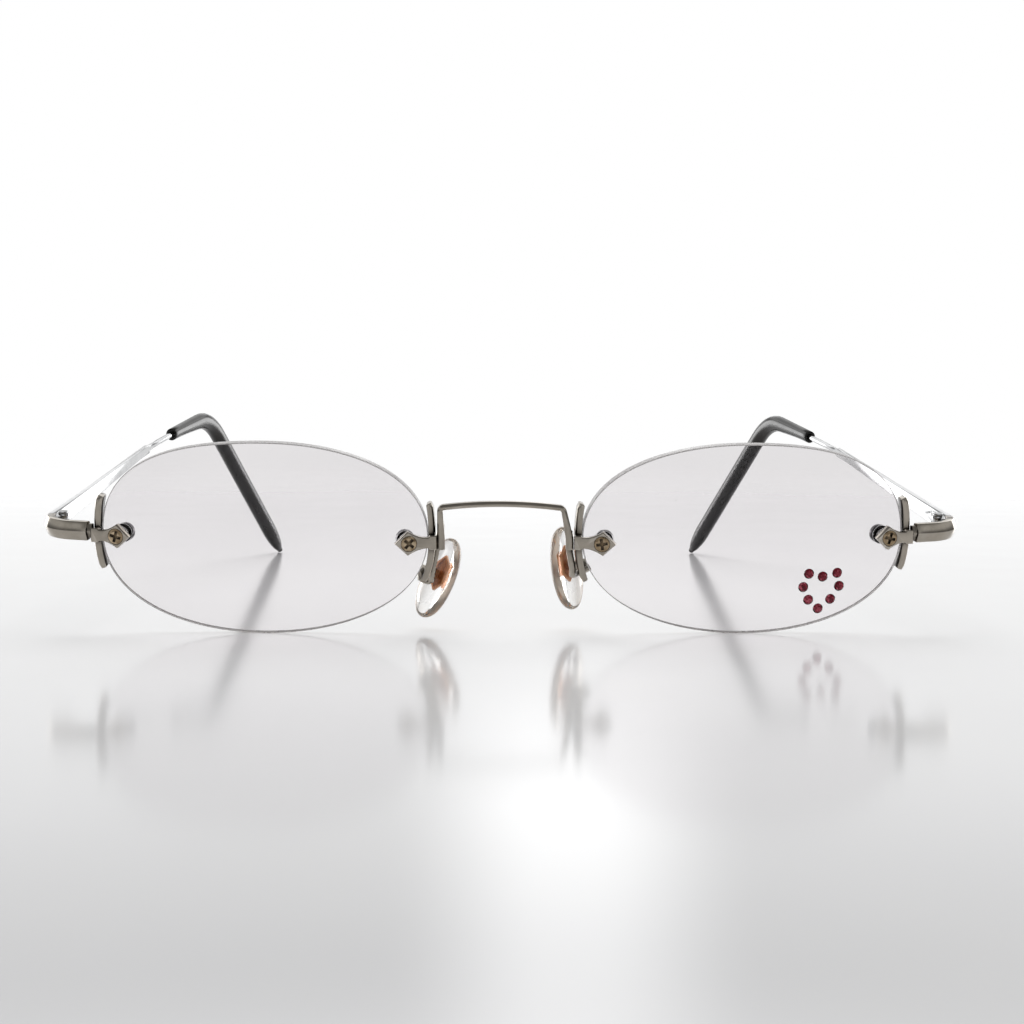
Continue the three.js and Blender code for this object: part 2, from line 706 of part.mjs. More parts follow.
// A point of the end piece's inner face at a length along it, with its direction.
function endPath(length) {
  const straight = Math.min(length, END_RUN);
  const turn = Math.max(0, length - END_RUN) / END_CORNER;
  const heading = endHeading + turn;
  const x = templeRoot.x + straight * Math.cos(endHeading);
  const y = templeRoot.y + straight * Math.sin(endHeading);
  return {
    x: x + END_CORNER * (Math.sin(heading) - Math.sin(endHeading)),
    y: y - END_CORNER * (Math.cos(heading) - Math.cos(endHeading)),
    outward: new THREE.Vector2(Math.sin(heading), -Math.cos(heading)),
  };
}

function endRing(length, section) {
  const { x, y, outward } = endPath(length);
  return section.map(([out, up]) => {
    const z = END_LEVEL + up;
    return new THREE.Vector3(x + outward.x * out, y + outward.y * out, z);
  });
}

const endSection = barSection(END_HEIGHT, END_THICKNESS, END_RIDGE, EDGE_CHAMFER);

function endPiece(name) {
  const neckHeight = END_HEIGHT - 2 * END_NECK_RECESS;
  const neck = barSection(neckHeight, END_THICKNESS - END_NECK_RECESS, END_RIDGE, EDGE_CHAMFER);
  const rings = [
    endRing(0, neck),
    endRing(END_NECK, neck),
    endRing(END_NECK + END_NECK_RAMP, endSection),
    endRing(END_RUN, endSection),
  ];
  const steps = 14;
  for (let i = 1; i <= steps; i++) {
    rings.push(endRing(THREE.MathUtils.lerp(END_RUN, endLength, i / steps), endSection));
  }
  return piece(name, loft(rings), looks.nickel);
}

// Hinge frame: origin on the bar's inner face at the butt, x outward, y back along the temple, z up
const hingeEnd = endPath(endLength);
const hingePlace = new THREE.Matrix4().makeRotationZ(TOE_IN).setPosition(hingeEnd.x, hingeEnd.y, END_LEVEL);
const knuckleStep = KNUCKLE_HEIGHT + RUNNING_CLEARANCE;

function knuckle(level, radius, height) {
  const bottom = level * knuckleStep - height / 2;
  const round = cylinder(radius, bottom, bottom + height, ROUND_SIDES);
  return round.rotateX(Math.PI / 2).translate(-PIN_OFFSET, 0, 0);
}

function knuckleRoom(level) {
  return knuckle(level, KNUCKLE_RADIUS + RUNNING_CLEARANCE, KNUCKLE_HEIGHT + 2 * RUNNING_CLEARANCE);
}

function pinBore() {
  return knuckle(0, PIN_RADIUS + RUNNING_CLEARANCE, 4 * knuckleStep);
}

function hingeFrontLeaf(name) {
  const height = 3 * knuckleStep - RUNNING_CLEARANCE;
  const plate = barSection(height, LEAF_THICKNESS, LEAF_CHAMFER, LEAF_CHAMFER);
  const section = plate.map(([out, up]) => [out - LEAF_THICKNESS - SEAM, up]);
  const toHinge = hingePlace.clone().invert();
  const steps = 4;
  const rings = [];
  for (let i = 0; i <= steps; i++) {
    const length = endLength - FRONT_LEAF_LENGTH * (1 - i / steps);
    rings.push(endRing(length, section).map((p) => p.applyMatrix4(toHinge)));
  }
  const upper = knuckle(1, KNUCKLE_RADIUS, KNUCKLE_HEIGHT);
  const lower = knuckle(-1, KNUCKLE_RADIUS, KNUCKLE_HEIGHT);
  return piece(name, cut(join(loft(rings), upper, lower), knuckleRoom(0), pinBore()), looks.nickel);
}

function hingeTempleLeaf(name) {
  const half = END_HEIGHT / 2 - LEAF_MARGIN;
  const plate = block(
    new THREE.Vector3(-SEAM - LEAF_THICKNESS, BUTT_GAP, -half),
    new THREE.Vector3(-SEAM, TEMPLE_LEAF_LENGTH, half),
  );
  const leaf = cut(plate, knuckleRoom(1), knuckleRoom(-1));
  return piece(name, cut(join(leaf, knuckle(0, KNUCKLE_RADIUS, KNUCKLE_HEIGHT)), pinBore()), looks.nickel);
}

function hingeScrew(name) {
  const half = 1.5 * knuckleStep;
  const body = turned(
    [
      [0, -half],
      [PIN_RADIUS, -half],
      [PIN_RADIUS, half],
      [PIN_HEAD_RADIUS, half],
      [PIN_HEAD_RADIUS, half + PIN_HEAD_HEIGHT],
      [0, half + PIN_HEAD_HEIGHT],
    ],
    SMALL_SIDES,
  );
  const slot = new THREE.BoxGeometry(3 * PIN_HEAD_RADIUS, PIN_HEAD_HEIGHT, PIN_SLOT_WIDTH);
  slot.translate(0, half + PIN_HEAD_HEIGHT, 0);
  const mesh = piece(name, cut(body, slot), looks.screw);
  mesh.position.set(-PIN_OFFSET, 0, 0);
  mesh.rotation.x = Math.PI / 2;
  return mesh;
}

// Temple: its middle line in the hinge frame, by length from the hinge

function templePath(length) {
  const bendHalf = BEND_RADIUS * Math.tan(BEND_ANGLE / 2);
  const bendStart = BEND_AT - bendHalf;
  const turn = THREE.MathUtils.clamp((length - bendStart) / BEND_RADIUS, 0, BEND_ANGLE);
  const pitch = TEMPLE_RISE - turn;
  const before = Math.min(length, bendStart);
  const after = Math.max(0, length - bendStart - BEND_RADIUS * BEND_ANGLE);
  const arcY = BEND_RADIUS * (Math.sin(TEMPLE_RISE) - Math.sin(pitch));
  const arcZ = BEND_RADIUS * (Math.cos(pitch) - Math.cos(TEMPLE_RISE));
  const y = before * Math.cos(TEMPLE_RISE) + arcY + after * Math.cos(pitch);
  const z = before * Math.sin(TEMPLE_RISE) + arcZ + after * Math.sin(pitch);
  const beyond = Math.max(0, length - BOW_START);
  const curved = Math.min(beyond, BEND_AT - BOW_START);
  const inward = (curved * (beyond - curved / 2)) / BOW_RADIUS;
  const along = new THREE.Vector3(-curved / BOW_RADIUS, Math.cos(pitch), Math.sin(pitch)).normalize();
  const square = new THREE.Vector3(0, -Math.sin(pitch), Math.cos(pitch));
  const out = new THREE.Vector3().crossVectors(along, square).normalize();
  const up = new THREE.Vector3().crossVectors(out, along);
  return { centre: new THREE.Vector3(-inward, y, z), out, up };
}

function templeRing(length, section, outShift) {
  const { centre, out, up } = templePath(length);
  return section.map(([o, u]) => centre.clone().addScaledVector(out, o + outShift).addScaledVector(up, u));
}

const wireStart = BLADE_LENGTH + WIRE_SHOULDER;
const wireLength = TEMPLE_LENGTH - WIRE_END_COVER;
const wireStep = (wireLength - wireStart) / WIRE_STEPS;
const wireStations = Array.from({ length: WIRE_STEPS + 1 }, (_, i) => wireStart + i * wireStep);
const wireShift = (BLADE_REAR_THICKNESS - WIRE_SIZE) / 2;

// Section of the round wire, grown by a margin.
function wireSection(margin) {
  const size = WIRE_SIZE + 2 * margin;
  const chamfer = size * (1 - Math.SQRT1_2);
  return barSection(size, size, chamfer, chamfer).map(([o, u]) => [o - margin, u]);
}

function temple(name) {
  const rings = [];
  const bladeSteps = 10;
  for (let i = 0; i <= bladeSteps; i++) {
    const share = i / bladeSteps;
    const taper = (1 - share) ** 2;
    const height = THREE.MathUtils.lerp(BLADE_REAR_HEIGHT, END_HEIGHT, taper);
    const thickness = THREE.MathUtils.lerp(BLADE_REAR_THICKNESS, END_THICKNESS, taper);
    const ridge = (thickness * END_RIDGE) / END_THICKNESS;
    const length = THREE.MathUtils.lerp(BUTT_GAP, BLADE_LENGTH, share);
    rings.push(templeRing(length, barSection(height, thickness, ridge, EDGE_CHAMFER), 0));
  }
  for (const length of wireStations) rings.push(templeRing(length, wireSection(0), wireShift));
  return piece(name, loft(rings), looks.nickel);
}

function ellipseSection(width, height) {
  const points = [];
  for (let k = 0; k < TIP_SIDES; k++) {
    const angle = (2 * Math.PI * k) / TIP_SIDES;
    points.push([(width / 2) * Math.cos(angle), (height / 2) * Math.sin(angle)]);
  }
  return points;
}

// Black tip: swells from its mouth to a blunt, rounded end
function templeTip(name) {
  const middle = wireShift + WIRE_SIZE / 2;
  const size = (length) => {
    const grown = THREE.MathUtils.smoothstep(length, TIP_START, TIP_START + TIP_SWELL);
    const left = THREE.MathUtils.clamp((TEMPLE_LENGTH - length) / TIP_TAPER, 0, 1);
    const full = Math.sqrt(1 - (1 - left) ** 2);
    const width = THREE.MathUtils.lerp(TIP_START_WIDTH, TIP_WIDTH, grown);
    const height = THREE.MathUtils.lerp(TIP_START_HEIGHT, TIP_HEIGHT, grown);
    return [Math.max(TIP_END_SIZE, width * full), Math.max(TIP_END_SIZE, height * full)];
  };
  const steps = 64;
  const rings = [];
  for (let i = 0; i <= steps; i++) {
    const share = Math.sin((Math.PI / 2) * (i / steps));
    const length = THREE.MathUtils.lerp(TIP_START, TEMPLE_LENGTH, share);
    rings.push(templeRing(length, ellipseSection(...size(length)), middle));
  }
  const inTip = wireStations.filter((length) => length > TIP_START - wireStep);
  const bore = [...inTip, wireLength + SLEEVE_CLEARANCE].map((length) =>
    templeRing(length, wireSection(SLEEVE_CLEARANCE), wireShift),
  );
  return piece(name, cut(loft(rings), loft(bore)), looks.tip);
}

// Nose pad frame: origin on the pad screw, y along it, x away from the nose, z up
function padFrame(tilt, lift) {
  const frame = new THREE.Group();
  frame.position.set(LENS_GAP / 2 - PAD_INSET, PAD_BACK, lift - PAD_DROP);
  frame.rotation.set(0, -tilt, -PAD_SPLAY, "ZYX");
  return frame;
}

const cheekOuter = LUG_WIDTH / 2 + RUNNING_CLEARANCE + BOX_WALL;
const boxBack = BOX_HALF + BOX_WALL;

// How each pad arm is bent: the left one runs down behind the bridge leg, the right one behind the brace
const armBends = {
  left: {
    low: LEFT_ARM_LOW,
    spread: LEFT_ARM_SPREAD,
    top: [
      new THREE.Vector3(legX, legBackDepth + SEAM + PAD_WIRE_RADIUS, PAD_WIRE_TOP),
      new THREE.Vector3(legX, legBackDepth + SEAM + PAD_WIRE_RADIUS, -BRIDGE_LEG_DROP),
    ],
  },
  right: {
    low: RIGHT_ARM_LOW,
    spread: RIGHT_ARM_SPREAD,
    top: [
      new THREE.Vector3(legX, legBackDepth + SEAM, PAD_WIRE_TOP),
      new THREE.Vector3(legX, legBackDepth + RIGHT_ARM_BACK, PAD_WIRE_TOP),
      new THREE.Vector3(legX + RIGHT_ARM_SHOULDER, legBackDepth + RIGHT_ARM_BACK, -BRIDGE_LEG_DROP),
    ],
  },
};

// Pad arm: wire from behind the bridge leg, down, back in a U bend and up to the pad box
function padArm(sideName, lift) {
  const frame = padFrame(PAD_TILT, lift);
  frame.updateMatrix();
  const boxWall = new THREE.Vector3(boxBack - BOX_WALL / 2, 0, 0).applyMatrix4(frame.matrix);
  const bend = armBends[sideName];
  const depth = bend.top.at(-1).y;
  const low = lift + PAD_WIRE_RADIUS - bend.low;
  const spreadX = legX + bend.spread;
  const swingX = boxWall.x + PAD_WIRE_SWING;
  const curve = new THREE.CatmullRomCurve3([
    ...bend.top,
    new THREE.Vector3(spreadX, depth, low + PAD_WIRE_BEND),
    new THREE.Vector3(spreadX, depth + PAD_WIRE_BEND, low),
    new THREE.Vector3((spreadX + swingX) / 2, (depth + PAD_WIRE_BEND + boxWall.y) / 2, low),
    new THREE.Vector3(swingX, boxWall.y - PAD_WIRE_BEND, (low + boxWall.z) / 2),
    boxWall,
  ]);
  const inBox = (x0, y0, x1, y1) =>
    block(new THREE.Vector3(x0, y0, -BOX_HALF), new THREE.Vector3(x1, y1, BOX_HALF));
  const inner = LUG_WIDTH / 2 + RUNNING_CLEARANCE;
  const bore = cylinder(PAD_PIN_RADIUS + RUNNING_CLEARANCE, -2 * cheekOuter, 2 * cheekOuter, SMALL_SIDES);
  const box = cut(
    join(
      inBox(BOX_HALF, -cheekOuter, boxBack, cheekOuter),
      inBox(-BOX_HALF, -cheekOuter, boxBack, -inner),
      inBox(-BOX_HALF, inner, boxBack, cheekOuter),
    ),
    bore,
  ).applyMatrix4(frame.matrix);
  const bent = wire(curve, PAD_WIRE_RADIUS, WIRE_STEPS, SMALL_SIDES);
  return piece(`${sideName}_pad_arm`, join(bent, box), looks.nickel);
}

function padScrew(name) {
  const front = -(cheekOuter + SEAM);
  const body = turned(
    [
      [0, front - PAD_PIN_HEAD_HEIGHT],
      [PAD_PIN_HEAD_RADIUS, front - PAD_PIN_HEAD_HEIGHT],
      [PAD_PIN_HEAD_RADIUS, front],
      [PAD_PIN_RADIUS, front],
      [PAD_PIN_RADIUS, cheekOuter],
      [0, cheekOuter],
    ],
    SMALL_SIDES,
  );
  return piece(name, body, looks.screw);
}

// The insert's hexagon, grown by a margin, as a plate between two depths
function hexPlate(margin, fromX, toX) {
  const tall = INSERT_LENGTH / 2 + margin;
  const wide = INSERT_WIDTH / 2 + margin;
  const shoulder = tall - INSERT_POINT;
  const outline = [
    [0, -tall],
    [wide, -shoulder],
    [wide, shoulder],
    [0, tall],
    [-wide, shoulder],
    [-wide, -shoulder],
  ].map(([y, z]) => [y - INSERT_FORWARD, z + INSERT_LIFT]);
  return loft([fromX, toX].map((x) => outline.map(([y, z]) => new THREE.Vector3(x, y, z))));
}

// Stem between the insert's plate and its lug, or with a margin the slot for it in the pad
function insertStem(margin) {
  const inPlate = -PAD_STANDOFF - INSERT_DEPTH - INSERT_THICKNESS / 2;
  return block(
    new THREE.Vector3(inPlate, -LUG_WIDTH / 2 - margin, -LUG_RADIUS - margin),
    new THREE.Vector3(0, LUG_WIDTH / 2 + margin, LUG_RADIUS + margin),
  );
}

// Copper insert moulded into the pad: framed plate, stem and a lug for the pad screw
function padInsert(name) {
  const face = -PAD_STANDOFF - INSERT_DEPTH;
  const stem = insertStem(0);
  const lug = cylinder(LUG_RADIUS, -LUG_WIDTH / 2, LUG_WIDTH / 2, ROUND_SIDES);
  const recess = hexPlate(-INSERT_FRAME, face - INSERT_RECESS, face + INSERT_RECESS);
  const plate = cut(hexPlate(0, face - INSERT_THICKNESS, face), recess);
  const whole = join(plate, stem, lug);
  const bore = cylinder(PAD_PIN_RADIUS + RUNNING_CLEARANCE, -LUG_WIDTH, LUG_WIDTH, SMALL_SIDES);
  return piece(name, cut(whole, bore), looks.copper);
}

// Clear pad: an oval that swells towards the nose, by insets and shares of its thickness, with a pocket
function nosePad(name) {
  const sides = 44;
  const levels = [
    [0.6, 0],
    [0.25, 0.06],
    [0.06, 0.18],
    [0, 0.36],
    [0.16, 0.58],
    [0.5, 0.76],
    [1.1, 0.9],
    [2, 0.98],
  ];
  const rings = levels.map(([inset, share]) => {
    const ring = [];
    for (let k = 0; k < sides; k++) {
      const angle = (2 * Math.PI * k) / sides;
      const y = (PAD_WIDTH / 2 - inset) * Math.cos(angle);
      const z = (PAD_LENGTH / 2 - inset) * Math.sin(angle) - PAD_SAG;
      ring.push(new THREE.Vector3(-PAD_STANDOFF - share * PAD_THICKNESS, y, z));
    }
    return ring;
  });
  const cover = -PAD_STANDOFF - INSERT_DEPTH + SLEEVE_CLEARANCE;
  const floor = -PAD_STANDOFF - INSERT_DEPTH - INSERT_THICKNESS - SLEEVE_CLEARANCE;
  const room = join(hexPlate(SLEEVE_CLEARANCE, floor, cover), insertStem(SLEEVE_CLEARANCE));
  return piece(name, cut(loft(rings), room), looks.clear);
}

// One side of the glasses
function side(sideName, mirror, padTilt, padLift) {
  const name = (what) => `${sideName}_${what}`;
  const half = new THREE.Group();
  half.scale.x = mirror;

  const lensGroup = new THREE.Group();
  lensGroup.applyMatrix4(lensPlace);
  lensGroup.add(lens(name("lens")));
  lensGroup.add(brace(name("temple_brace"), mounts.temple), brace(name("nose_brace"), mounts.nose));
  lensGroup.add(lensMount(sideName, "temple"), lensMount(sideName, "nose"));
  if (sideName === "left") lensGroup.add(...heartStones());

  const hinge = new THREE.Group();
  hinge.applyMatrix4(hingePlace);
  hinge.add(hingeFrontLeaf(name("hinge_front_leaf")), hingeScrew(name("hinge_screw")));
  hinge.add(hingeTempleLeaf(name("hinge_temple_leaf")));
  hinge.add(temple(name("temple")), templeTip(name("temple_tip")));

  const box = padFrame(PAD_TILT, padLift);
  box.add(padScrew(name("pad_screw")));
  const pad = padFrame(padTilt, padLift);
  pad.add(padInsert(name("pad_insert")), nosePad(name("nose_pad")));

  half.add(lensGroup, endPiece(name("end_piece")), hinge, padArm(sideName, padLift), box, pad);
  return half;
}

// The glasses lean forward until the lens bottoms and the tip ends share one level.
function lean() {
  const tipEnd = templePath(TEMPLE_LENGTH).centre.applyMatrix4(hingePlace);
  const lensFoot = new THREE.Vector3(0, surfaceDepth(0, LENS_HEIGHT / 2, 0), -LENS_HEIGHT / 2);
  return Math.atan2(lensFoot.z - (tipEnd.z - TIP_END_SIZE / 2), tipEnd.y - lensFoot.y);
}

const worn = new THREE.Group();
worn.add(bridge());
worn.add(side("left", 1, LEFT_PAD_TILT, PAD_UNEVENNESS));
worn.add(side("right", -1, RIGHT_PAD_TILT, -PAD_UNEVENNESS));
worn.rotation.x = lean();
worn.updateMatrixWorld(true);

// Origin under the middle of the glasses, on the table
const bounds = new THREE.Box3().setFromObject(worn, true);
const middle = bounds.getCenter(new THREE.Vector3());
worn.position.set(-middle.x, -middle.y, -bounds.min.z);

const sunglasses = new THREE.Group();
sunglasses.add(worn);

export default sunglasses;
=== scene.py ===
"""Rimless oval sunglasses with a heart of red stones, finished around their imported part."""

import json
import math

import bmesh
import bpy
import numpy as np
from mathutils import Matrix, Vector
from mathutils.geometry import delaunay_2d_cdt

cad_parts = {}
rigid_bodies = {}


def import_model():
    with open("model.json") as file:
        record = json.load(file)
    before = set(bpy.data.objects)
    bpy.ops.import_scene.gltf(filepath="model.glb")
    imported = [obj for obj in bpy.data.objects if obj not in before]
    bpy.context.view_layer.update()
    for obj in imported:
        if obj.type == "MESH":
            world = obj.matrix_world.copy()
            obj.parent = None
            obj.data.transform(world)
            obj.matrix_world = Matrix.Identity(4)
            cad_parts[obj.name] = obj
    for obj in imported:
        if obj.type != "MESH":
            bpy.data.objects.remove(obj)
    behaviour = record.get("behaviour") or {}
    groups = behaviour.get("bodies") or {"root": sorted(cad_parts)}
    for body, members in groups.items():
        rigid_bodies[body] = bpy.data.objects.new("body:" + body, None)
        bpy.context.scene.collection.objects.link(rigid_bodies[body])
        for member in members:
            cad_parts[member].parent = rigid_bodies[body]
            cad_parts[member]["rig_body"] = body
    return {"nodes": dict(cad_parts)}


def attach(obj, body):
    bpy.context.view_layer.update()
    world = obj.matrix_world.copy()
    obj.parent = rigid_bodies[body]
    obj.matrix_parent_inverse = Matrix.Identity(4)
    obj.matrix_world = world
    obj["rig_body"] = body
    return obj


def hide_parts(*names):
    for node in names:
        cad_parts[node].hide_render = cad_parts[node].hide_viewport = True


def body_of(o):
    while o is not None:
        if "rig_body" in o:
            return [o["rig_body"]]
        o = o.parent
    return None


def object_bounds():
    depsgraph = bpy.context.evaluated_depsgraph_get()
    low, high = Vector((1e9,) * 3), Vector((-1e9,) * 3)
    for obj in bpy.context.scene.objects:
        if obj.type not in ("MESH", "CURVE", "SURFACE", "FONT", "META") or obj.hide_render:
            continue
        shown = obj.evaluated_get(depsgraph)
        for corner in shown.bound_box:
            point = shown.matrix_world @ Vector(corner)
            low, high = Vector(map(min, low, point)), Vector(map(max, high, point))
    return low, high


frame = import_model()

# Sizes in metres and angles in radians
MM = 0.001
WELD = 0.001 * MM
FLAT = math.radians(0.8)
SHARP = math.radians(32)
FACING = 0.7

# How far the edges of each kind of piece are rounded
STRAP_ROUNDING = 0.07 * MM
BRACE_ROUNDING = 0.2 * MM
BAR_ROUNDING = 0.06 * MM
SCREW_ROUNDING = 0.03 * MM
NUT_ROUNDING = 0.06 * MM
WASHER_ROUNDING = 0.04 * MM
BUSHING_ROUNDING = 0.03 * MM
INSERT_ROUNDING = 0.05 * MM
TIP_ROUNDING = 0.08 * MM
BEVEL_STEPS = 2

# The lens: the spacing of its points, its ground edge, and steps in its curves
LENS_GRID = 2.5 * MM
LENS_EDGE_ROUNDING = 0.16 * MM
LENS_EDGE_STRIP = 0.12 * MM
LENS_SMOOTHING = 4
HOLE_SIDES = 32
ROUNDING_STEPS = 4

# A pad's faces count as its side wall where they face its axis by less than this
PAD_WALL = 0.6

# The stone's rings: the girdle's level, then the radius and level of the shoulder and the table
STONE_SIDES = 16
STONE_GIRDLE = 0.25
STONE_SHOULDER = (0.78, 0.72)
STONE_TABLE = (0.46, 1.0)

# The stage: the table's half width, where it starts and ends to fade, and the lamp
TABLE_REACH = 3.0
TABLE_MIDDLE = (0.0, -0.1, 0.0)
TABLE_FADE = (0.32, 0.7)
LAMP_PLACE = Vector((0.0, 0.55, 0.8))
LAMP_SIZE = 0.7
LAMP_WATTS = 7.4

# The camera, fitted to the photograph
CAMERA_PLACE = Vector((-8.28, -339.5, 35.8)) * MM
CAMERA_DOWN = 0.065
CAMERA_RIGHT = 0.034
CAMERA_ROLL = 0.005
FOCAL_PIXELS = 1852.5
PHOTO_PIXELS = 1024
SENSOR_WIDTH = 36.0

scene = bpy.context.scene
scene.view_settings.view_transform = "Standard"
packed_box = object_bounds()


# Shader nodes

def new_material(name):
    """A material, with its node tree and its main shader."""
    made = bpy.data.materials.new(name)
    made.use_nodes = True
    tree = made.node_tree
    shader = tree.nodes["Principled BSDF"]
    return made, tree, shader


def noise(tree, size, detail=3.0, stretch=(1, 1, 1)):
    """Noise with features of a real size, as a factor."""
    place = tree.nodes.new("ShaderNodeTexCoord")
    scaled = tree.nodes.new("ShaderNodeMapping")
    scaled.inputs["Scale"].default_value = stretch
    tree.links.new(place.outputs["Object"], scaled.inputs["Vector"])
    made = tree.nodes.new("ShaderNodeTexNoise")
    made.inputs["Scale"].default_value = 1 / size
    made.inputs["Detail"].default_value = detail
    tree.links.new(scaled.outputs["Vector"], made.inputs["Vector"])
    return made.outputs["Fac"]


def specks(tree, spacing, radius, share):
    """Small round specks in a share of the cells, 1 inside and 0 outside."""
    place = tree.nodes.new("ShaderNodeTexCoord")
    cells = tree.nodes.new("ShaderNodeTexVoronoi")
    cells.inputs["Scale"].default_value = 1 / spacing
    tree.links.new(place.outputs["Object"], cells.inputs["Vector"])
    edge = radius / spacing
    inside = ramp_value(tree, cells.outputs["Distance"], 0.6 * edge, edge, 1.0, 0.0)
    chosen = ramp_value(tree, cells.outputs["Color"], share, share + 0.02, 1.0, 0.0)
    return combine(tree, "MULTIPLY", inside, chosen)


def combine(tree, operation, first, second):
    """Two factors in one."""
    made = tree.nodes.new("ShaderNodeMath")
    made.operation = operation
    tree.links.new(first, made.inputs[0])
    tree.links.new(second, made.inputs[1])
    return made.outputs["Value"]


def ramp_value(tree, factor, from_low, from_high, low, high):
    """A factor spread between two values."""
    spread = tree.nodes.new("ShaderNodeMapRange")
    spread.interpolation_type = "SMOOTHSTEP"
    spread.inputs["From Min"].default_value = from_low
    spread.inputs["From Max"].default_value = from_high
    spread.inputs["To Min"].default_value = low
    spread.inputs["To Max"].default_value = high
    tree.links.new(factor, spread.inputs["Value"])
    return spread.outputs["Result"]


def ramp_colour(tree, factor, *stops):
    """A factor spread over colours, each with its position."""
    ramp = tree.nodes.new("ShaderNodeValToRGB")
    elements = ramp.color_ramp.elements
    while len(elements) < len(stops):
        elements.new(0.5)
    for element, (position, colour) in zip(elements, stops):
        element.position = position
        element.color = (*colour, 1)
    tree.links.new(factor, ramp.inputs["Fac"])
    return ramp.outputs["Color"]


def layer(tree, share, under, over):
    """One colour over another, by a share."""
    mix = tree.nodes.new("ShaderNodeMix")
    mix.data_type = "RGBA"
    tree.links.new(share, mix.inputs["Factor"])
    tree.links.new(under, mix.inputs[6])
    tree.links.new(over, mix.inputs[7])
    return mix.outputs[2]


def worn_edges(tree):
    """How far a point stands out as an edge."""
    geometry = tree.nodes.new("ShaderNodeNewGeometry")
    return ramp_value(tree, geometry.outputs["Pointiness"], 0.52, 0.6, 0.0, 1.0)


def painted_corner_shade(tree, reach):
    """How far a point lies in a narrow corner, as the share of painted shade it gets."""
    corner = tree.nodes.new("ShaderNodeAmbientOcclusion")
    corner.samples = 6
    corner.inputs["Distance"].default_value = reach
    return ramp_value(tree, corner.outputs["AO"], 0.4, 0.97, 1.0, 0.0)


def add_bump(tree, shader, height, depth, strength):
    """Fine relief on a shader."""
    bump = tree.nodes.new("ShaderNodeBump")
    bump.inputs["Strength"].default_value = strength
    bump.inputs["Distance"].default_value = depth
    tree.links.new(height, bump.inputs["Height"])
    tree.links.new(bump.outputs["Normal"], shader.inputs["Normal"])


def pass_light(tree, shader, tint):
    """Lets light through a clear shader on its way from a lamp."""
    clear = tree.nodes.new("ShaderNodeBsdfTransparent")
    clear.inputs["Color"].default_value = (*tint, 1)
    path = tree.nodes.new("ShaderNodeLightPath")
    mix = tree.nodes.new("ShaderNodeMixShader")
    tree.links.new(path.outputs["Is Shadow Ray"], mix.inputs["Fac"])
    tree.links.new(shader.outputs["BSDF"], mix.inputs[1])
    tree.links.new(clear.outputs["BSDF"], mix.inputs[2])
    tree.links.new(mix.outputs["Shader"], tree.nodes["Material Output"].inputs["Surface"])


# Materials

def metal(name, dark, light, polished, roughness, corners, bare=1.0):
    """Plated metal: cloudy colour, polished edges, painted shade in corners and fine rubbing marks."""
    made, tree, shader = new_material(name)
    clouds = ramp_colour(tree, noise(tree, 3 * MM), (0.35, dark), (0.65, light))
    bright = ramp_colour(tree, noise(tree, 1 * MM), (0.3, light), (0.7, polished))
    clean = layer(tree, worn_edges(tree), clouds, bright)
    fine = noise(tree, 0.3 * MM)
    # Painted shade: corners and recesses are darkened almost to black, out to the corners length.
    corner_shade_colour = ramp_colour(tree, fine, (0.3, (0.012, 0.010, 0.008)), (0.7, (0.05, 0.04, 0.032)))
    colour = layer(tree, painted_corner_shade(tree, corners), clean, corner_shade_colour)
    tree.links.new(colour, shader.inputs["Base Color"])
    shader.inputs["Metallic"].default_value = bare
    low, high = roughness
    dull = ramp_value(tree, noise(tree, 0.7 * MM, 5.0), 0.3, 0.7, low, high)
    tree.links.new(dull, shader.inputs["Roughness"])
    rubbed = noise(tree, 0.25 * MM, 4.0, (1, 1, 6))
    add_bump(tree, shader, rubbed, 0.004 * MM, 0.25)
    return made


def level_on_piece(tree):
    """How high a point lies on its piece, from 0 at the bottom to 1 at the top."""
    place = tree.nodes.new("ShaderNodeTexCoord")
    split = tree.nodes.new("ShaderNodeSeparateXYZ")
    tree.links.new(place.outputs["Generated"], split.inputs["Vector"])
    return split.outputs["Z"]


def lens_plastic():
    """Rose grey tint that is paler below, with an anti-glare coat and a little dust."""
    made, tree, shader = new_material("lens tint")
    flow = noise(tree, 12 * MM)
    lower = ramp_colour(tree, flow, (0.3, (0.908, 0.888, 0.897)), (0.7, (0.928, 0.908, 0.917)))
    upper = ramp_colour(tree, flow, (0.3, (0.758, 0.741, 0.749)), (0.7, (0.778, 0.761, 0.769)))
    tint = layer(tree, ramp_value(tree, level_on_piece(tree), 0.17, 0.73, 0.0, 1.0), lower, upper)
    dust = ramp_colour(tree, noise(tree, 2 * MM), (0.3, (0.30, 0.28, 0.27)), (0.7, (0.5, 0.48, 0.47)))
    colour = layer(tree, specks(tree, 5 * MM, 0.11 * MM, 0.3), tint, dust)
    tree.links.new(colour, shader.inputs["Base Color"])
    smear = ramp_value(tree, noise(tree, 6 * MM, 4.0), 0.4, 0.8, 0.0, 0.03)
    tree.links.new(smear, shader.inputs["Roughness"])
    shader.inputs["Transmission Weight"].default_value = 1.0
    shader.inputs["IOR"].default_value = 1.5
    shader.inputs["Specular Tint"].default_value = (0.3, 0.3, 0.32, 1)
    pass_light(tree, shader, (0.9, 0.885, 0.89))
    return made


def lens_edge():
    """The lens's ground edge: satin, and a little darker as painted shade for the light lost inside
    the lens at its edge.
    """
    made, tree, shader = new_material("ground lens edge")
    # Painted shade: this grey-beige is darker than the lens itself.
    tint = ramp_colour(tree, noise(tree, 6 * MM), (0.3, (0.48, 0.46, 0.45)), (0.7, (0.56, 0.54, 0.53)))
    tree.links.new(tint, shader.inputs["Base Color"])
    satin = ramp_value(tree, noise(tree, 2 * MM), 0.3, 0.7, 0.25, 0.32)
    tree.links.new(satin, shader.inputs["Roughness"])
    shader.inputs["Transmission Weight"].default_value = 0.4
    shader.inputs["IOR"].default_value = 1.5
    pass_light(tree, shader, (0.6, 0.58, 0.56))
    return made


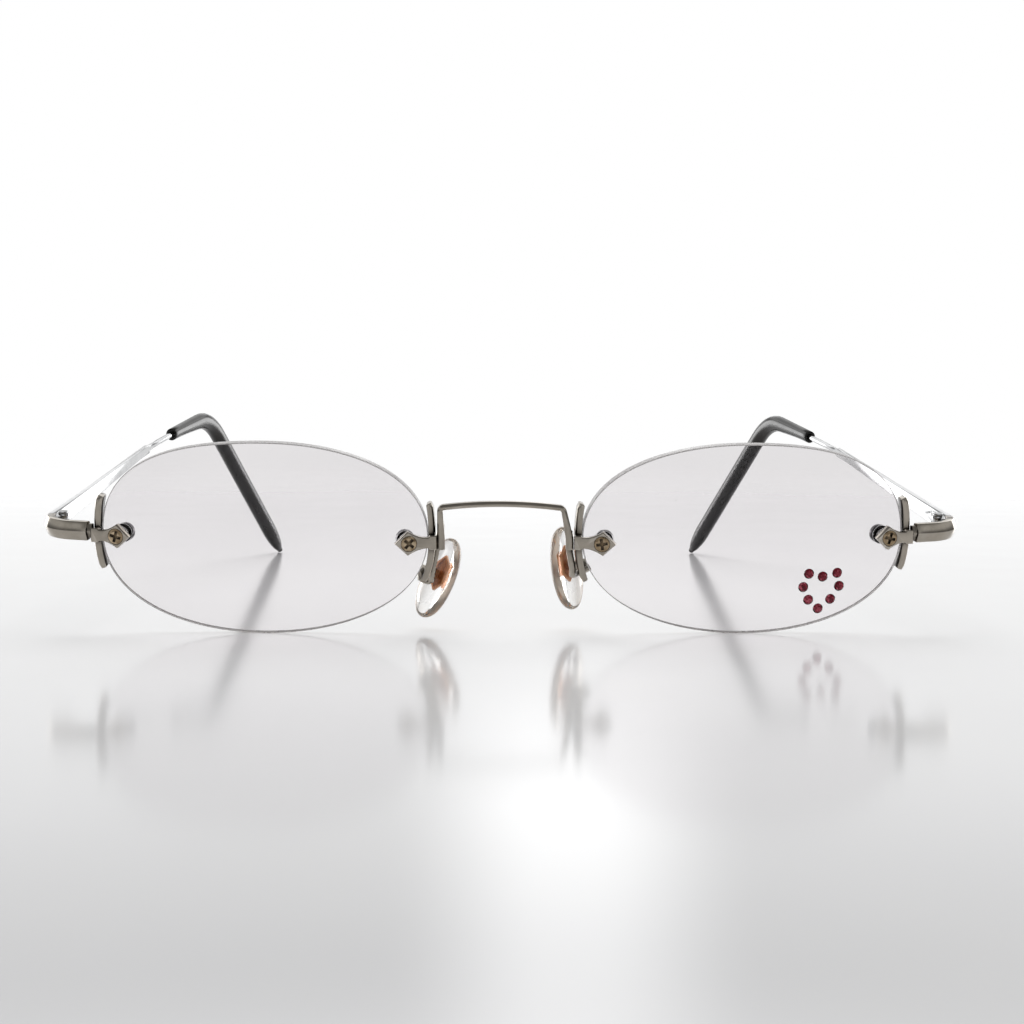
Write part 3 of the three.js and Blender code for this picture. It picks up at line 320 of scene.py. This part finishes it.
def clear_plastic(name, clear, edge, ior, roughness):
    """Clear moulded plastic or silicone: cloudy, with painted shade where it is seen along its edge,
    in place of light bent away at its rim.
    """
    made, tree, shader = new_material(name)
    cloudy = tuple(0.96 * value for value in clear)
    tint = ramp_colour(tree, noise(tree, 2 * MM), (0.3, cloudy), (0.7, clear))
    pale_edge = tuple(1.3 * value for value in edge)
    # Painted shade: a darker edge colour where the surface turns away from view.
    deep = ramp_colour(tree, noise(tree, 1 * MM), (0.3, edge), (0.7, pale_edge))
    turned_away = tree.nodes.new("ShaderNodeLayerWeight")
    rim = ramp_value(tree, turned_away.outputs["Facing"], 0.35, 0.8, 0.0, 1.0)
    tree.links.new(layer(tree, rim, tint, deep), shader.inputs["Base Color"])
    see_through = ramp_value(tree, turned_away.outputs["Facing"], 0.35, 0.8, 1.0, 0.3)
    tree.links.new(see_through, shader.inputs["Transmission Weight"])
    low, high = roughness
    haze = ramp_value(tree, noise(tree, 1.2 * MM, 4.0), 0.3, 0.7, low, high)
    tree.links.new(haze, shader.inputs["Roughness"])
    shader.inputs["IOR"].default_value = ior
    add_bump(tree, shader, noise(tree, 0.8 * MM), 0.01 * MM, 0.2)
    pass_light(tree, shader, (0.85, 0.83, 0.8))
    return made


def tip_plastic():
    """Black moulded plastic with a soft gloss."""
    made, tree, shader = new_material("black tip plastic")
    clouds = noise(tree, 4 * MM)
    body = ramp_colour(tree, clouds, (0.3, (0.008, 0.007, 0.006)), (0.7, (0.014, 0.012, 0.010)))
    marks = noise(tree, 1 * MM)
    rubbed = ramp_colour(tree, marks, (0.3, (0.010, 0.009, 0.008)), (0.7, (0.022, 0.020, 0.018)))
    colour = layer(tree, worn_edges(tree), body, rubbed)
    tree.links.new(colour, shader.inputs["Base Color"])
    gloss = ramp_value(tree, noise(tree, 1.5 * MM, 5.0), 0.3, 0.7, 0.14, 0.2)
    tree.links.new(gloss, shader.inputs["Roughness"])
    shader.inputs["Specular IOR Level"].default_value = 0.25
    add_bump(tree, shader, noise(tree, 0.5 * MM), 0.002 * MM, 0.1)
    return made


def facing_front(tree):
    """How far a facet faces the front."""
    geometry = tree.nodes.new("ShaderNodeNewGeometry")
    axes = tree.nodes.new("ShaderNodeSeparateXYZ")
    tree.links.new(geometry.outputs["True Normal"], axes.inputs["Vector"])
    return ramp_value(tree, axes.outputs["Y"], -0.75, -0.55, 1.0, 0.0)


def by_facet(tree):
    """A factor that jumps from facet to facet."""
    geometry = tree.nodes.new("ShaderNodeNewGeometry")
    spread = tree.nodes.new("ShaderNodeVectorMath")
    spread.operation = "DOT_PRODUCT"
    spread.inputs[1].default_value = (3.7, 2.3, 5.9)
    tree.links.new(geometry.outputs["True Normal"], spread.inputs[0])
    jump = tree.nodes.new("ShaderNodeMath")
    jump.operation = "FRACT"
    tree.links.new(spread.outputs["Value"], jump.inputs[0])
    return jump.outputs["Value"]


def red_crystal():
    """Deep red cut glass over a dark foil, with painted light and shade: each facet its own painted
    shade up to pink painted glints, and painted shade round the girdle.
    """
    made, tree, shader = new_material("red crystal")
    # Painted light and shade: each facet a red from near black up to a pink glint, by the way it
    # faces.
    facets = ramp_colour(
        tree,
        by_facet(tree),
        (0.0, (0.11, 0.004, 0.013)),
        (0.4, (0.29, 0.014, 0.034)),
        (0.7, (0.44, 0.035, 0.06)),
        (1.0, (0.70, 0.16, 0.22)),
    )
    # Patches of darker and lighter red, laid over the facet shades.
    inside = noise(tree, 0.3 * MM, 2.0)
    red_patches = ramp_colour(tree, inside, (0.4, (0.10, 0.005, 0.012)), (0.6, (0.42, 0.04, 0.07)))
    patches = ramp_value(tree, noise(tree, 0.5 * MM, 1.0), 0.4, 0.6, 0.1, 0.6)
    # Painted shade: facets that turn away from the front, round the girdle, go nearly black.
    clouds = noise(tree, 0.4 * MM)
    deep = ramp_colour(tree, clouds, (0.3, (0.02, 0.001, 0.003)), (0.7, (0.09, 0.005, 0.012)))
    crown = layer(tree, facing_front(tree), deep, layer(tree, patches, facets, red_patches))
    tree.links.new(crown, shader.inputs["Base Color"])
    gloss = ramp_value(tree, noise(tree, 0.4 * MM), 0.3, 0.7, 0.03, 0.10)
    tree.links.new(gloss, shader.inputs["Roughness"])
    shader.inputs["IOR"].default_value = 1.65
    shader.inputs["Specular IOR Level"].default_value = 0.2
    return made


# Each metal's dark, light and polished colours
PALE = (0.34, 0.308, 0.26), (0.41, 0.372, 0.318), (0.58, 0.54, 0.48)
# The next colours are the nickel again, made lighter: painted light for the temples, hinge leaves and
# hinge screws, which stand in the light from behind.
NICKEL_PAINTED_LIT = (0.48, 0.485, 0.49), (0.56, 0.565, 0.57), (0.74, 0.74, 0.74)
BRASS = (0.22, 0.16, 0.095), (0.34, 0.25, 0.155), (0.62, 0.50, 0.35)
DARK_STEEL = (0.02, 0.018, 0.02), (0.05, 0.045, 0.05), (0.18, 0.175, 0.18)
COPPER = (0.56, 0.20, 0.065), (0.70, 0.27, 0.095), (0.86, 0.50, 0.30)

# Each clear plastic's colour, and the painted shade that it takes where it is seen along its edge
SILICONE = (0.98, 0.975, 0.965), (0.36, 0.29, 0.21)
# The pad's side wall is all painted shade: beige, going brown where it is seen along its edge.
SIDE_WALL = (0.74, 0.65, 0.55), (0.36, 0.29, 0.21)
WASHER = (0.97, 0.97, 0.97), (0.7, 0.7, 0.7)

# The length after each metal's roughness is how far its painted corner shade reaches.
looks = {
    "nickel": metal("plated nickel", *PALE, (0.1, 0.18), 1.5 * MM),
    "nickel_painted_lit": metal("nickel painted lit", *NICKEL_PAINTED_LIT, (0.06, 0.1), 0.3 * MM),
    "screw_metal": metal("brass screw", *BRASS, (0.2, 0.36), 1.2 * MM),
    "nut_steel": metal("dark steel nut", *DARK_STEEL, (0.1, 0.2), 0.3 * MM),
    "copper": metal("copper plate", *COPPER, (0.2, 0.34), 0.1 * MM, 0.3),
    "lens": lens_plastic(),
    "lens_edge": lens_edge(),
    "silicone": clear_plastic("clear silicone", *SILICONE, 1.41, (0.03, 0.1)),
    "pad_wall": clear_plastic("silicone side wall", *SIDE_WALL, 1.41, (0.06, 0.14)),
    "clear_plastic": clear_plastic("clear washer", *WASHER, 1.49, (0.1, 0.25)),
    "tip_plastic": tip_plastic(),
    "stone": red_crystal(),
}


# Pieces

def joined(node):
    """A CAD node's shape as one closed surface."""
    shape = bmesh.new()
    shape.from_mesh(frame["nodes"][node].data)
    bmesh.ops.remove_doubles(shape, verts=shape.verts, dist=WELD)
    return shape


def welded(node):
    """A CAD node's shape, with its triangles joined into whole faces."""
    shape = joined(node)
    bmesh.ops.dissolve_limit(shape, angle_limit=FLAT, verts=shape.verts, edges=shape.edges)
    return shape


def round_edges(shape, width):
    """Rounds a shape's sharp edges."""
    sharp = [edge for edge in shape.edges if edge.is_manifold and edge.calc_face_angle() > SHARP]
    bmesh.ops.bevel(
        shape,
        geom=sharp,
        offset=width,
        segments=BEVEL_STEPS,
        profile=0.5,
        affect="EDGES",
        clamp_overlap=True,
    )


def finish_piece(node, shape, slot, look=None):
    """Stands a finished shape in for a CAD node, in its slot's look or another."""
    name = f"{node}_finished"
    mesh = bpy.data.meshes.new(name)
    shape.to_mesh(mesh)
    shape.free()
    mesh.shade_smooth()
    mesh.set_sharp_from_angle(angle=SHARP)
    mesh.materials.append(looks[look or slot])
    piece = bpy.data.objects.new(name, mesh)
    scene.collection.objects.link(piece)
    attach(piece, body_of(frame["nodes"][node])[0])
    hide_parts(node)
    return piece


def dress(node, slot, rounding, look=None):
    """A CAD node with rounded edges and its own finish."""
    shape = welded(node)
    round_edges(shape, rounding)
    finish_piece(node, shape, slot, look)


def edge_loops(shape, towards):
    """The closed outlines of the faces that look one way, longest first, as points in order."""
    chosen = {face for face in shape.faces if face.normal.dot(towards) > FACING}
    border = [edge for edge in shape.edges if sum(face in chosen for face in edge.link_faces) == 1]
    left = set(border)
    loops = []
    while left:
        edge = left.pop()
        start, here = edge.verts
        points = [start.co.copy()]
        while here is not start:
            points.append(here.co.copy())
            edge = next(other for other in here.link_edges if other in left)
            left.remove(edge)
            here = edge.other_vert(here)
        loops.append(points)
    return sorted(loops, key=len, reverse=True)


def smooth_loop(points, steps):
    """A closed outline with a smooth curve through its points."""
    count = len(points)
    made = []
    for i in range(count):
        before, a, b, after = (points[(i + k) % count] for k in (-1, 0, 1, 2))
        for step in range(steps):
            t = step / steps
            made.append(
                0.5 * (
                    2 * a
                    + (b - before) * t
                    + (2 * before - 5 * a + 4 * b - after) * t ** 2
                    + (3 * a - before - 3 * b + after) * t ** 3
                )
            )
    return made


def fitted_sphere(verts):
    """The centre and radius of the sphere through some vertices."""
    rows = np.array([[2 * v.co.x, 2 * v.co.y, 2 * v.co.z, 1] for v in verts])
    squares = np.array([v.co.length_squared for v in verts])
    x, y, z, rest = np.linalg.lstsq(rows, squares, rcond=None)[0]
    centre = Vector((x, y, z))
    return centre, math.sqrt(rest + centre.length_squared)


def round_loop(points, sides):
    """An even circle in place of a drilled hole's faceted outline."""
    centre = sum(points, Vector()) / len(points)
    radius = sum((p - centre).length for p in points) / len(points)
    turns = [2 * math.pi * k / sides for k in range(sides)]
    return [centre + radius * Vector((math.cos(turn), 0, math.sin(turn))) for turn in turns]


def beside(front, back):
    """A back outline, put in order to run beside a front one."""
    count = len(front)
    first = min(range(count), key=lambda i: (back[i] - front[0]).length)
    back = back[first:] + back[:first]
    if (front[1] - front[0]).dot(back[1] - back[0]) < 0:
        back = back[:1] + back[:0:-1]
    return back


def along_sphere(direction, point, sphere):
    """A direction, laid along a sphere at a point on it."""
    normal = (point - sphere[0]).normalized()
    return (direction - direction.dot(normal) * normal).normalized()


def round_corner(corner, first, second):
    """Points on a round corner between two directions."""
    shares = [k / ROUNDING_STEPS for k in range(ROUNDING_STEPS + 1)]
    return [corner + LENS_EDGE_ROUNDING * ((1 - t) ** 2 * first + t ** 2 * second) for t in shares]


def rounded_edge(front, back, spheres):
    """Outlines from the front face of a lens, over its edge, to the back face."""
    count = len(front)
    middle = sum(front, Vector()) / count
    profiles = []
    for i in range(count):
        along = front[(i + 1) % count] - front[i - 1]
        through = (back[i] - front[i]).normalized()
        inward = along.cross(through)
        if inward.dot(middle - front[i]) < 0:
            inward = -inward
        over_front = along_sphere(inward, front[i], spheres[0])
        over_back = along_sphere(inward, back[i], spheres[1])
        strip = LENS_EDGE_ROUNDING + LENS_EDGE_STRIP
        profiles.append([
            front[i] + strip * over_front,
            *round_corner(front[i], over_front, through),
            *round_corner(back[i], -through, over_back),
            back[i] + strip * over_back,
        ])
    return [list(row) for row in zip(*profiles)]


def lens_face(shape, outlines, sphere):
    """One face of a lens on its sphere, inside its outlines. Gives the outlines' vertices."""
    centre, radius = sphere
    flat = []
    rings = []
    for outline in outlines:
        rings.append(list(range(len(flat), len(flat) + len(outline))))
        flat += [Vector((p.x, p.z)) for p in outline]
    columns = np.arange(min(p.x for p in flat), max(p.x for p in flat), LENS_GRID)
    rows = np.arange(min(p.y for p in flat), max(p.y for p in flat), LENS_GRID)
    grid = [Vector((float(x), float(z))) for x in columns for z in rows]
    spots, _, faces, origins, _, _ = delaunay_2d_cdt(flat + grid, [], rings, 2, WELD)
    made = {}
    for i in sorted({i for face in faces for i in face}):
        x, z = spots[i]
        depth = math.sqrt(radius ** 2 - (x - centre.x) ** 2 - (z - centre.z) ** 2)
        made[i] = shape.verts.new((x, centre.y - depth, z))
    for face in faces:
        shape.faces.new([made[i] for i in face])
    by_input = {origin: made[i] for i in made for origin in origins[i]}
    return [[by_input[i] for i in ring] for ring in rings]


def add_wall(shape, first, second, look):
    """Faces between two outlines."""
    for i in range(len(first)):
        face = shape.faces.new((first[i - 1], first[i], second[i], second[i - 1]))
        face.material_index = look


def set_sphere_normals(mesh, spheres):
    """Shades the two faces of a lens as the spheres that they lie on."""
    normals = [corner.vector.copy() for corner in mesh.corner_normals]
    for face in mesh.polygons:
        if face.material_index == 0:
            centre = spheres[0 if face.normal.y < 0 else 1][0]
            for corner in face.loop_indices:
                outward = mesh.vertices[mesh.loops[corner].vertex_index].co - centre
                normals[corner] = outward.normalized() if face.normal.y < 0 else -outward.normalized()
    mesh.normals_split_custom_set(normals)


def lens(node):
    """A lens with smooth outlines and rounded edges."""
    cad = joined(node)
    cad.normal_update()
    rims = []
    drilled = []
    spheres = []
    for towards in (Vector((0, -1, 0)), Vector((0, 1, 0))):
        rim, *holes = edge_loops(cad, towards)
        rims.append(smooth_loop(rim, LENS_SMOOTHING))
        holes.sort(key=lambda hole: hole[0].x)
        drilled.append([round_loop(hole, HOLE_SIDES) for hole in holes])
        faces = [face for face in cad.faces if face.normal.dot(towards) > FACING]
        spheres.append(fitted_sphere({vert for face in faces for vert in face.verts}))
    cad.free()
    front, back = rims
    rows = rounded_edge(front, beside(front, back), spheres)
    shape = bmesh.new()
    front_rim, *front_holes = lens_face(shape, [rows[0], *drilled[0]], spheres[0])
    back_rim, *back_holes = lens_face(shape, [rows[-1], *drilled[1]], spheres[1])
    edge = [[shape.verts.new(p) for p in row] for row in rows[1:-1]]
    add_wall(shape, front_rim, edge[0], 0)
    for first, second in zip(edge, edge[1:]):
        add_wall(shape, first, second, 1)
    add_wall(shape, edge[-1], back_rim, 0)
    for first, second in zip(front_holes, back_holes):
        add_wall(shape, first, second, 1)
    bmesh.ops.recalc_face_normals(shape, faces=shape.faces)
    piece = finish_piece(node, shape, "lens")
    piece.data.materials.append(looks["lens_edge"])
    set_sphere_normals(piece.data, spheres)


def nose_pad(node):
    """A pad cast round its insert: its outside alone bends light, and its side wall takes painted
    shade, darker and browner.
    """
    cad = joined(node)
    shape = bmesh.new()
    for vert in cad.verts:
        shape.verts.new(vert.co)
    cad.free()
    bmesh.ops.convex_hull(shape, input=shape.verts)
    inside = [vert for vert in shape.verts if not vert.link_faces]
    bmesh.ops.delete(shape, geom=inside, context="VERTS")
    bmesh.ops.dissolve_limit(shape, angle_limit=FLAT, verts=shape.verts, edges=shape.edges)
    bmesh.ops.recalc_face_normals(shape, faces=shape.faces)
    axis = max(shape.faces, key=lambda face: face.calc_area()).normal.copy()
    for face in shape.faces:
        # The side wall faces take the painted shade.
        face.material_index = int(abs(face.normal.dot(axis)) < PAD_WALL)
    piece = finish_piece(node, shape, "silicone")
    piece.data.materials.append(looks["pad_wall"])


def stone(node):
    """A round brilliant: a girdle, a ring of shoulder facets and a flat table."""
    cad = welded(node)
    back = max(cad.faces, key=lambda face: face.normal.y * face.calc_area())
    centre = back.calc_center_median()
    axis = -back.normal
    radius = max((v.co - centre).length for v in back.verts)
    depth = max((v.co - centre).dot(axis) for v in cad.verts)
    turn = axis.to_track_quat("Z", "Y")
    cad.free()
    shape = bmesh.new()

    def ring(share, level, sides, shift):
        spots = []
        reach = share * radius
        for k in range(sides):
            angle = 2 * math.pi * (k + shift) / sides
            spot = Vector((reach * math.cos(angle), reach * math.sin(angle), level * depth))
            spots.append(shape.verts.new(centre + turn @ spot))
        return spots

    base = ring(1, 0, STONE_SIDES, 0)
    girdle = ring(1, STONE_GIRDLE, STONE_SIDES, 0)
    shoulder = ring(*STONE_SHOULDER, STONE_SIDES // 2, 0.25)
    table = ring(*STONE_TABLE, STONE_SIDES // 2, 0.75)
    bmesh.ops.convex_hull(shape, input=base + girdle + shoulder + table)
    bmesh.ops.dissolve_limit(shape, angle_limit=FLAT, verts=shape.verts, edges=shape.edges)
    bmesh.ops.recalc_face_normals(shape, faces=shape.faces)
    piece = finish_piece(node, shape, "stone")
    piece.data.shade_flat()


def dress_side(side):
    """The pieces on one side."""
    lens(f"{side}_lens")
    for where in ("temple", "nose"):
        dress(f"{side}_{where}_strap", "nickel", STRAP_ROUNDING)
        dress(f"{side}_{where}_brace", "nickel", BRACE_ROUNDING)
    for what in ("end_piece", "pad_arm"):
        dress(f"{side}_{what}", "nickel", BAR_ROUNDING)
    # The temples and hinge leaves take the lighter copy of the nickel, which is painted light.
    for what in ("temple", "hinge_front_leaf", "hinge_temple_leaf"):
        dress(f"{side}_{what}", "nickel", BAR_ROUNDING, "nickel_painted_lit")
    for where in ("temple", "nose"):
        dress(f"{side}_{where}_lens_screw", "screw_metal", SCREW_ROUNDING)
        dress(f"{side}_{where}_lens_nut", "nut_steel", NUT_ROUNDING)
        dress(f"{side}_{where}_lens_washer", "clear_plastic", WASHER_ROUNDING)
        dress(f"{side}_{where}_lens_bushing", "clear_plastic", BUSHING_ROUNDING)
    # The hinge screw also takes the lighter copy of the nickel, which is painted light.
    dress(f"{side}_hinge_screw", "screw_metal", SCREW_ROUNDING, "nickel_painted_lit")
    dress(f"{side}_pad_screw", "screw_metal", SCREW_ROUNDING, "nickel")
    dress(f"{side}_pad_insert", "copper", INSERT_ROUNDING)
    nose_pad(f"{side}_nose_pad")
    dress(f"{side}_temple_tip", "tip_plastic", TIP_ROUNDING)


for side in ("left", "right"):
    dress_side(side)
dress("bridge", "nickel", BAR_ROUNDING)
for node in sorted(frame["nodes"]):
    if node.startswith("heart_stone_"):
        stone(node)


# Stage

def add_table(level):
    """A wide flat table at a level."""
    corners = [(-1, -1), (1, -1), (1, 1), (-1, 1)]
    shape = bmesh.new()
    shape.faces.new([shape.verts.new((TABLE_REACH * x, TABLE_REACH * y, level)) for x, y in corners])
    mesh = bpy.data.meshes.new("table")
    shape.to_mesh(mesh)
    shape.free()
    mesh.materials.append(table_top())
    table = bpy.data.objects.new("table", mesh)
    scene.collection.objects.link(table)


def table_top():
    """White table with a soft gloss, lost in the white all round."""
    made, tree, shader = new_material("white table")
    clouds = noise(tree, 60 * MM)
    colour = ramp_colour(tree, clouds, (0.3, (0.79, 0.79, 0.80)), (0.7, (0.81, 0.81, 0.815)))
    tree.links.new(colour, shader.inputs["Base Color"])
    gloss = ramp_value(tree, noise(tree, 25 * MM), 0.3, 0.7, 0.11, 0.125)
    tree.links.new(gloss, shader.inputs["Roughness"])
    place = tree.nodes.new("ShaderNodeTexCoord")
    away = tree.nodes.new("ShaderNodeVectorMath")
    away.operation = "DISTANCE"
    away.inputs[1].default_value = TABLE_MIDDLE
    tree.links.new(place.outputs["Object"], away.inputs[0])
    fade = ramp_value(tree, away.outputs["Value"], *TABLE_FADE, 1.0, 0.0)
    tree.links.new(fade, shader.inputs["Alpha"])
    return made


def away_from(tree, coordinate, middle):
    """How far a coordinate lies from a value."""
    made = tree.nodes.new("ShaderNodeMath")
    made.operation = "SUBTRACT"
    made.inputs[1].default_value = middle
    tree.links.new(coordinate, made.inputs[0])
    size = tree.nodes.new("ShaderNodeMath")
    size.operation = "ABSOLUTE"
    tree.links.new(made.outputs["Value"], size.inputs[0])
    return size.outputs["Value"]


def bright_wall(tree, x, aside, z):
    """The white wall behind: brighter to both sides and above, a window's glow in the middle."""
    low = ramp_value(tree, z, 0.19, 0.33, 1.0, 0.22)
    flanks = ramp_value(tree, away_from(tree, aside, 0.62), 0.1, 0.2, 4.5, 1.0)
    window = combine(
        tree,
        "MULTIPLY",
        ramp_value(tree, away_from(tree, x, 0.065), 0.01, 0.1, 1.2, 0.0),
        ramp_value(tree, away_from(tree, z, 0.28), 0.05, 0.14, 1.0, 0.0),
    )
    above = ramp_value(tree, away_from(tree, z, 0.5), 0.12, 0.2, 1.1, 0.0)
    wall = combine(tree, "MULTIPLY", low, flanks)
    return combine(tree, "ADD", combine(tree, "ADD", wall, window), above)


def dim_room(tree, aside, z):
    """The room around the camera: dark over the camera, a soft panel on each side."""
    middle = ramp_value(tree, z, 0.02, 0.3, 0.7, 0.22)
    panels = ramp_value(tree, away_from(tree, z, 0.33), 0.08, 0.3, 0.65, 0.18)
    return layer(tree, ramp_value(tree, aside, 0.3, 0.5, 0.0, 1.0), middle, panels)


def studio_world():
    """A studio all round. The camera sees white, and clear pieces see white in front and behind."""
    world = bpy.data.worlds.new("studio")
    world.use_nodes = True
    tree = world.node_tree
    place = tree.nodes.new("ShaderNodeTexCoord")
    axes = tree.nodes.new("ShaderNodeSeparateXYZ")
    tree.links.new(place.outputs["Generated"], axes.inputs["Vector"])
    x, y, z = (axes.outputs[axis] for axis in "XYZ")
    aside = away_from(tree, x, 0.0)
    behind = ramp_value(tree, y, 0.5, 0.64, 0.0, 1.0)
    studio = layer(tree, behind, dim_room(tree, aside, z), bright_wall(tree, x, aside, z))
    white = combine(
        tree,
        "MULTIPLY",
        ramp_value(tree, away_from(tree, y, 0.0), 0.3, 0.6, 0.3, 1.0),
        ramp_value(tree, z, 0.5, 0.75, 1.0, 0.3),
    )
    path = tree.nodes.new("ShaderNodeLightPath")
    bounces = combine(tree, "ADD", path.outputs["Diffuse Depth"], path.outputs["Glossy Depth"])
    straight = ramp_value(tree, bounces, 0.0, 1.0, 1.0, 0.0)
    looked_through = combine(tree, "MULTIPLY", path.outputs["Is Transmission Ray"], straight)
    through = layer(tree, looked_through, studio, white)
    seen = tree.nodes.new("ShaderNodeMix")
    seen.data_type = "RGBA"
    seen.inputs[7].default_value = (1, 1, 1, 1)
    tree.links.new(path.outputs["Is Camera Ray"], seen.inputs["Factor"])
    tree.links.new(through, seen.inputs[6])
    light = tree.nodes["Background"]
    tree.links.new(seen.outputs[2], light.inputs["Color"])
    light.inputs["Strength"].default_value = 1.0
    scene.world = world


def add_lamp():
    """A square softbox behind and above, which lights the part and isn't mirrored in it."""
    lamp = bpy.data.lights.new("back softbox", "AREA")
    lamp.shape = "SQUARE"
    lamp.size = LAMP_SIZE
    lamp.energy = LAMP_WATTS
    holder = bpy.data.objects.new("back softbox", lamp)
    holder.location = LAMP_PLACE
    holder.rotation_mode = "QUATERNION"
    holder.rotation_quaternion = (-LAMP_PLACE).to_track_quat("-Z", "Y")
    holder.visible_glossy = False
    holder.visible_transmission = False
    scene.collection.objects.link(holder)


def add_camera():
    """The photograph's camera."""
    lens_data = bpy.data.cameras.new("photo camera")
    lens_data.sensor_fit = "HORIZONTAL"
    lens_data.sensor_width = SENSOR_WIDTH
    lens_data.lens = FOCAL_PIXELS / PHOTO_PIXELS * SENSOR_WIDTH
    lens_data.clip_start = 0.02
    camera = bpy.data.objects.new("photo camera", lens_data)
    camera.matrix_world = (
        Matrix.Translation(CAMERA_PLACE)
        @ Matrix.Rotation(-CAMERA_RIGHT, 4, "Z")
        @ Matrix.Rotation(math.pi / 2 - CAMERA_DOWN, 4, "X")
        @ Matrix.Rotation(CAMERA_ROLL, 4, "Z")
    )
    scene.collection.objects.link(camera)
    scene.camera = camera


add_table(packed_box[0].z)
studio_world()
add_lamp()
add_camera()
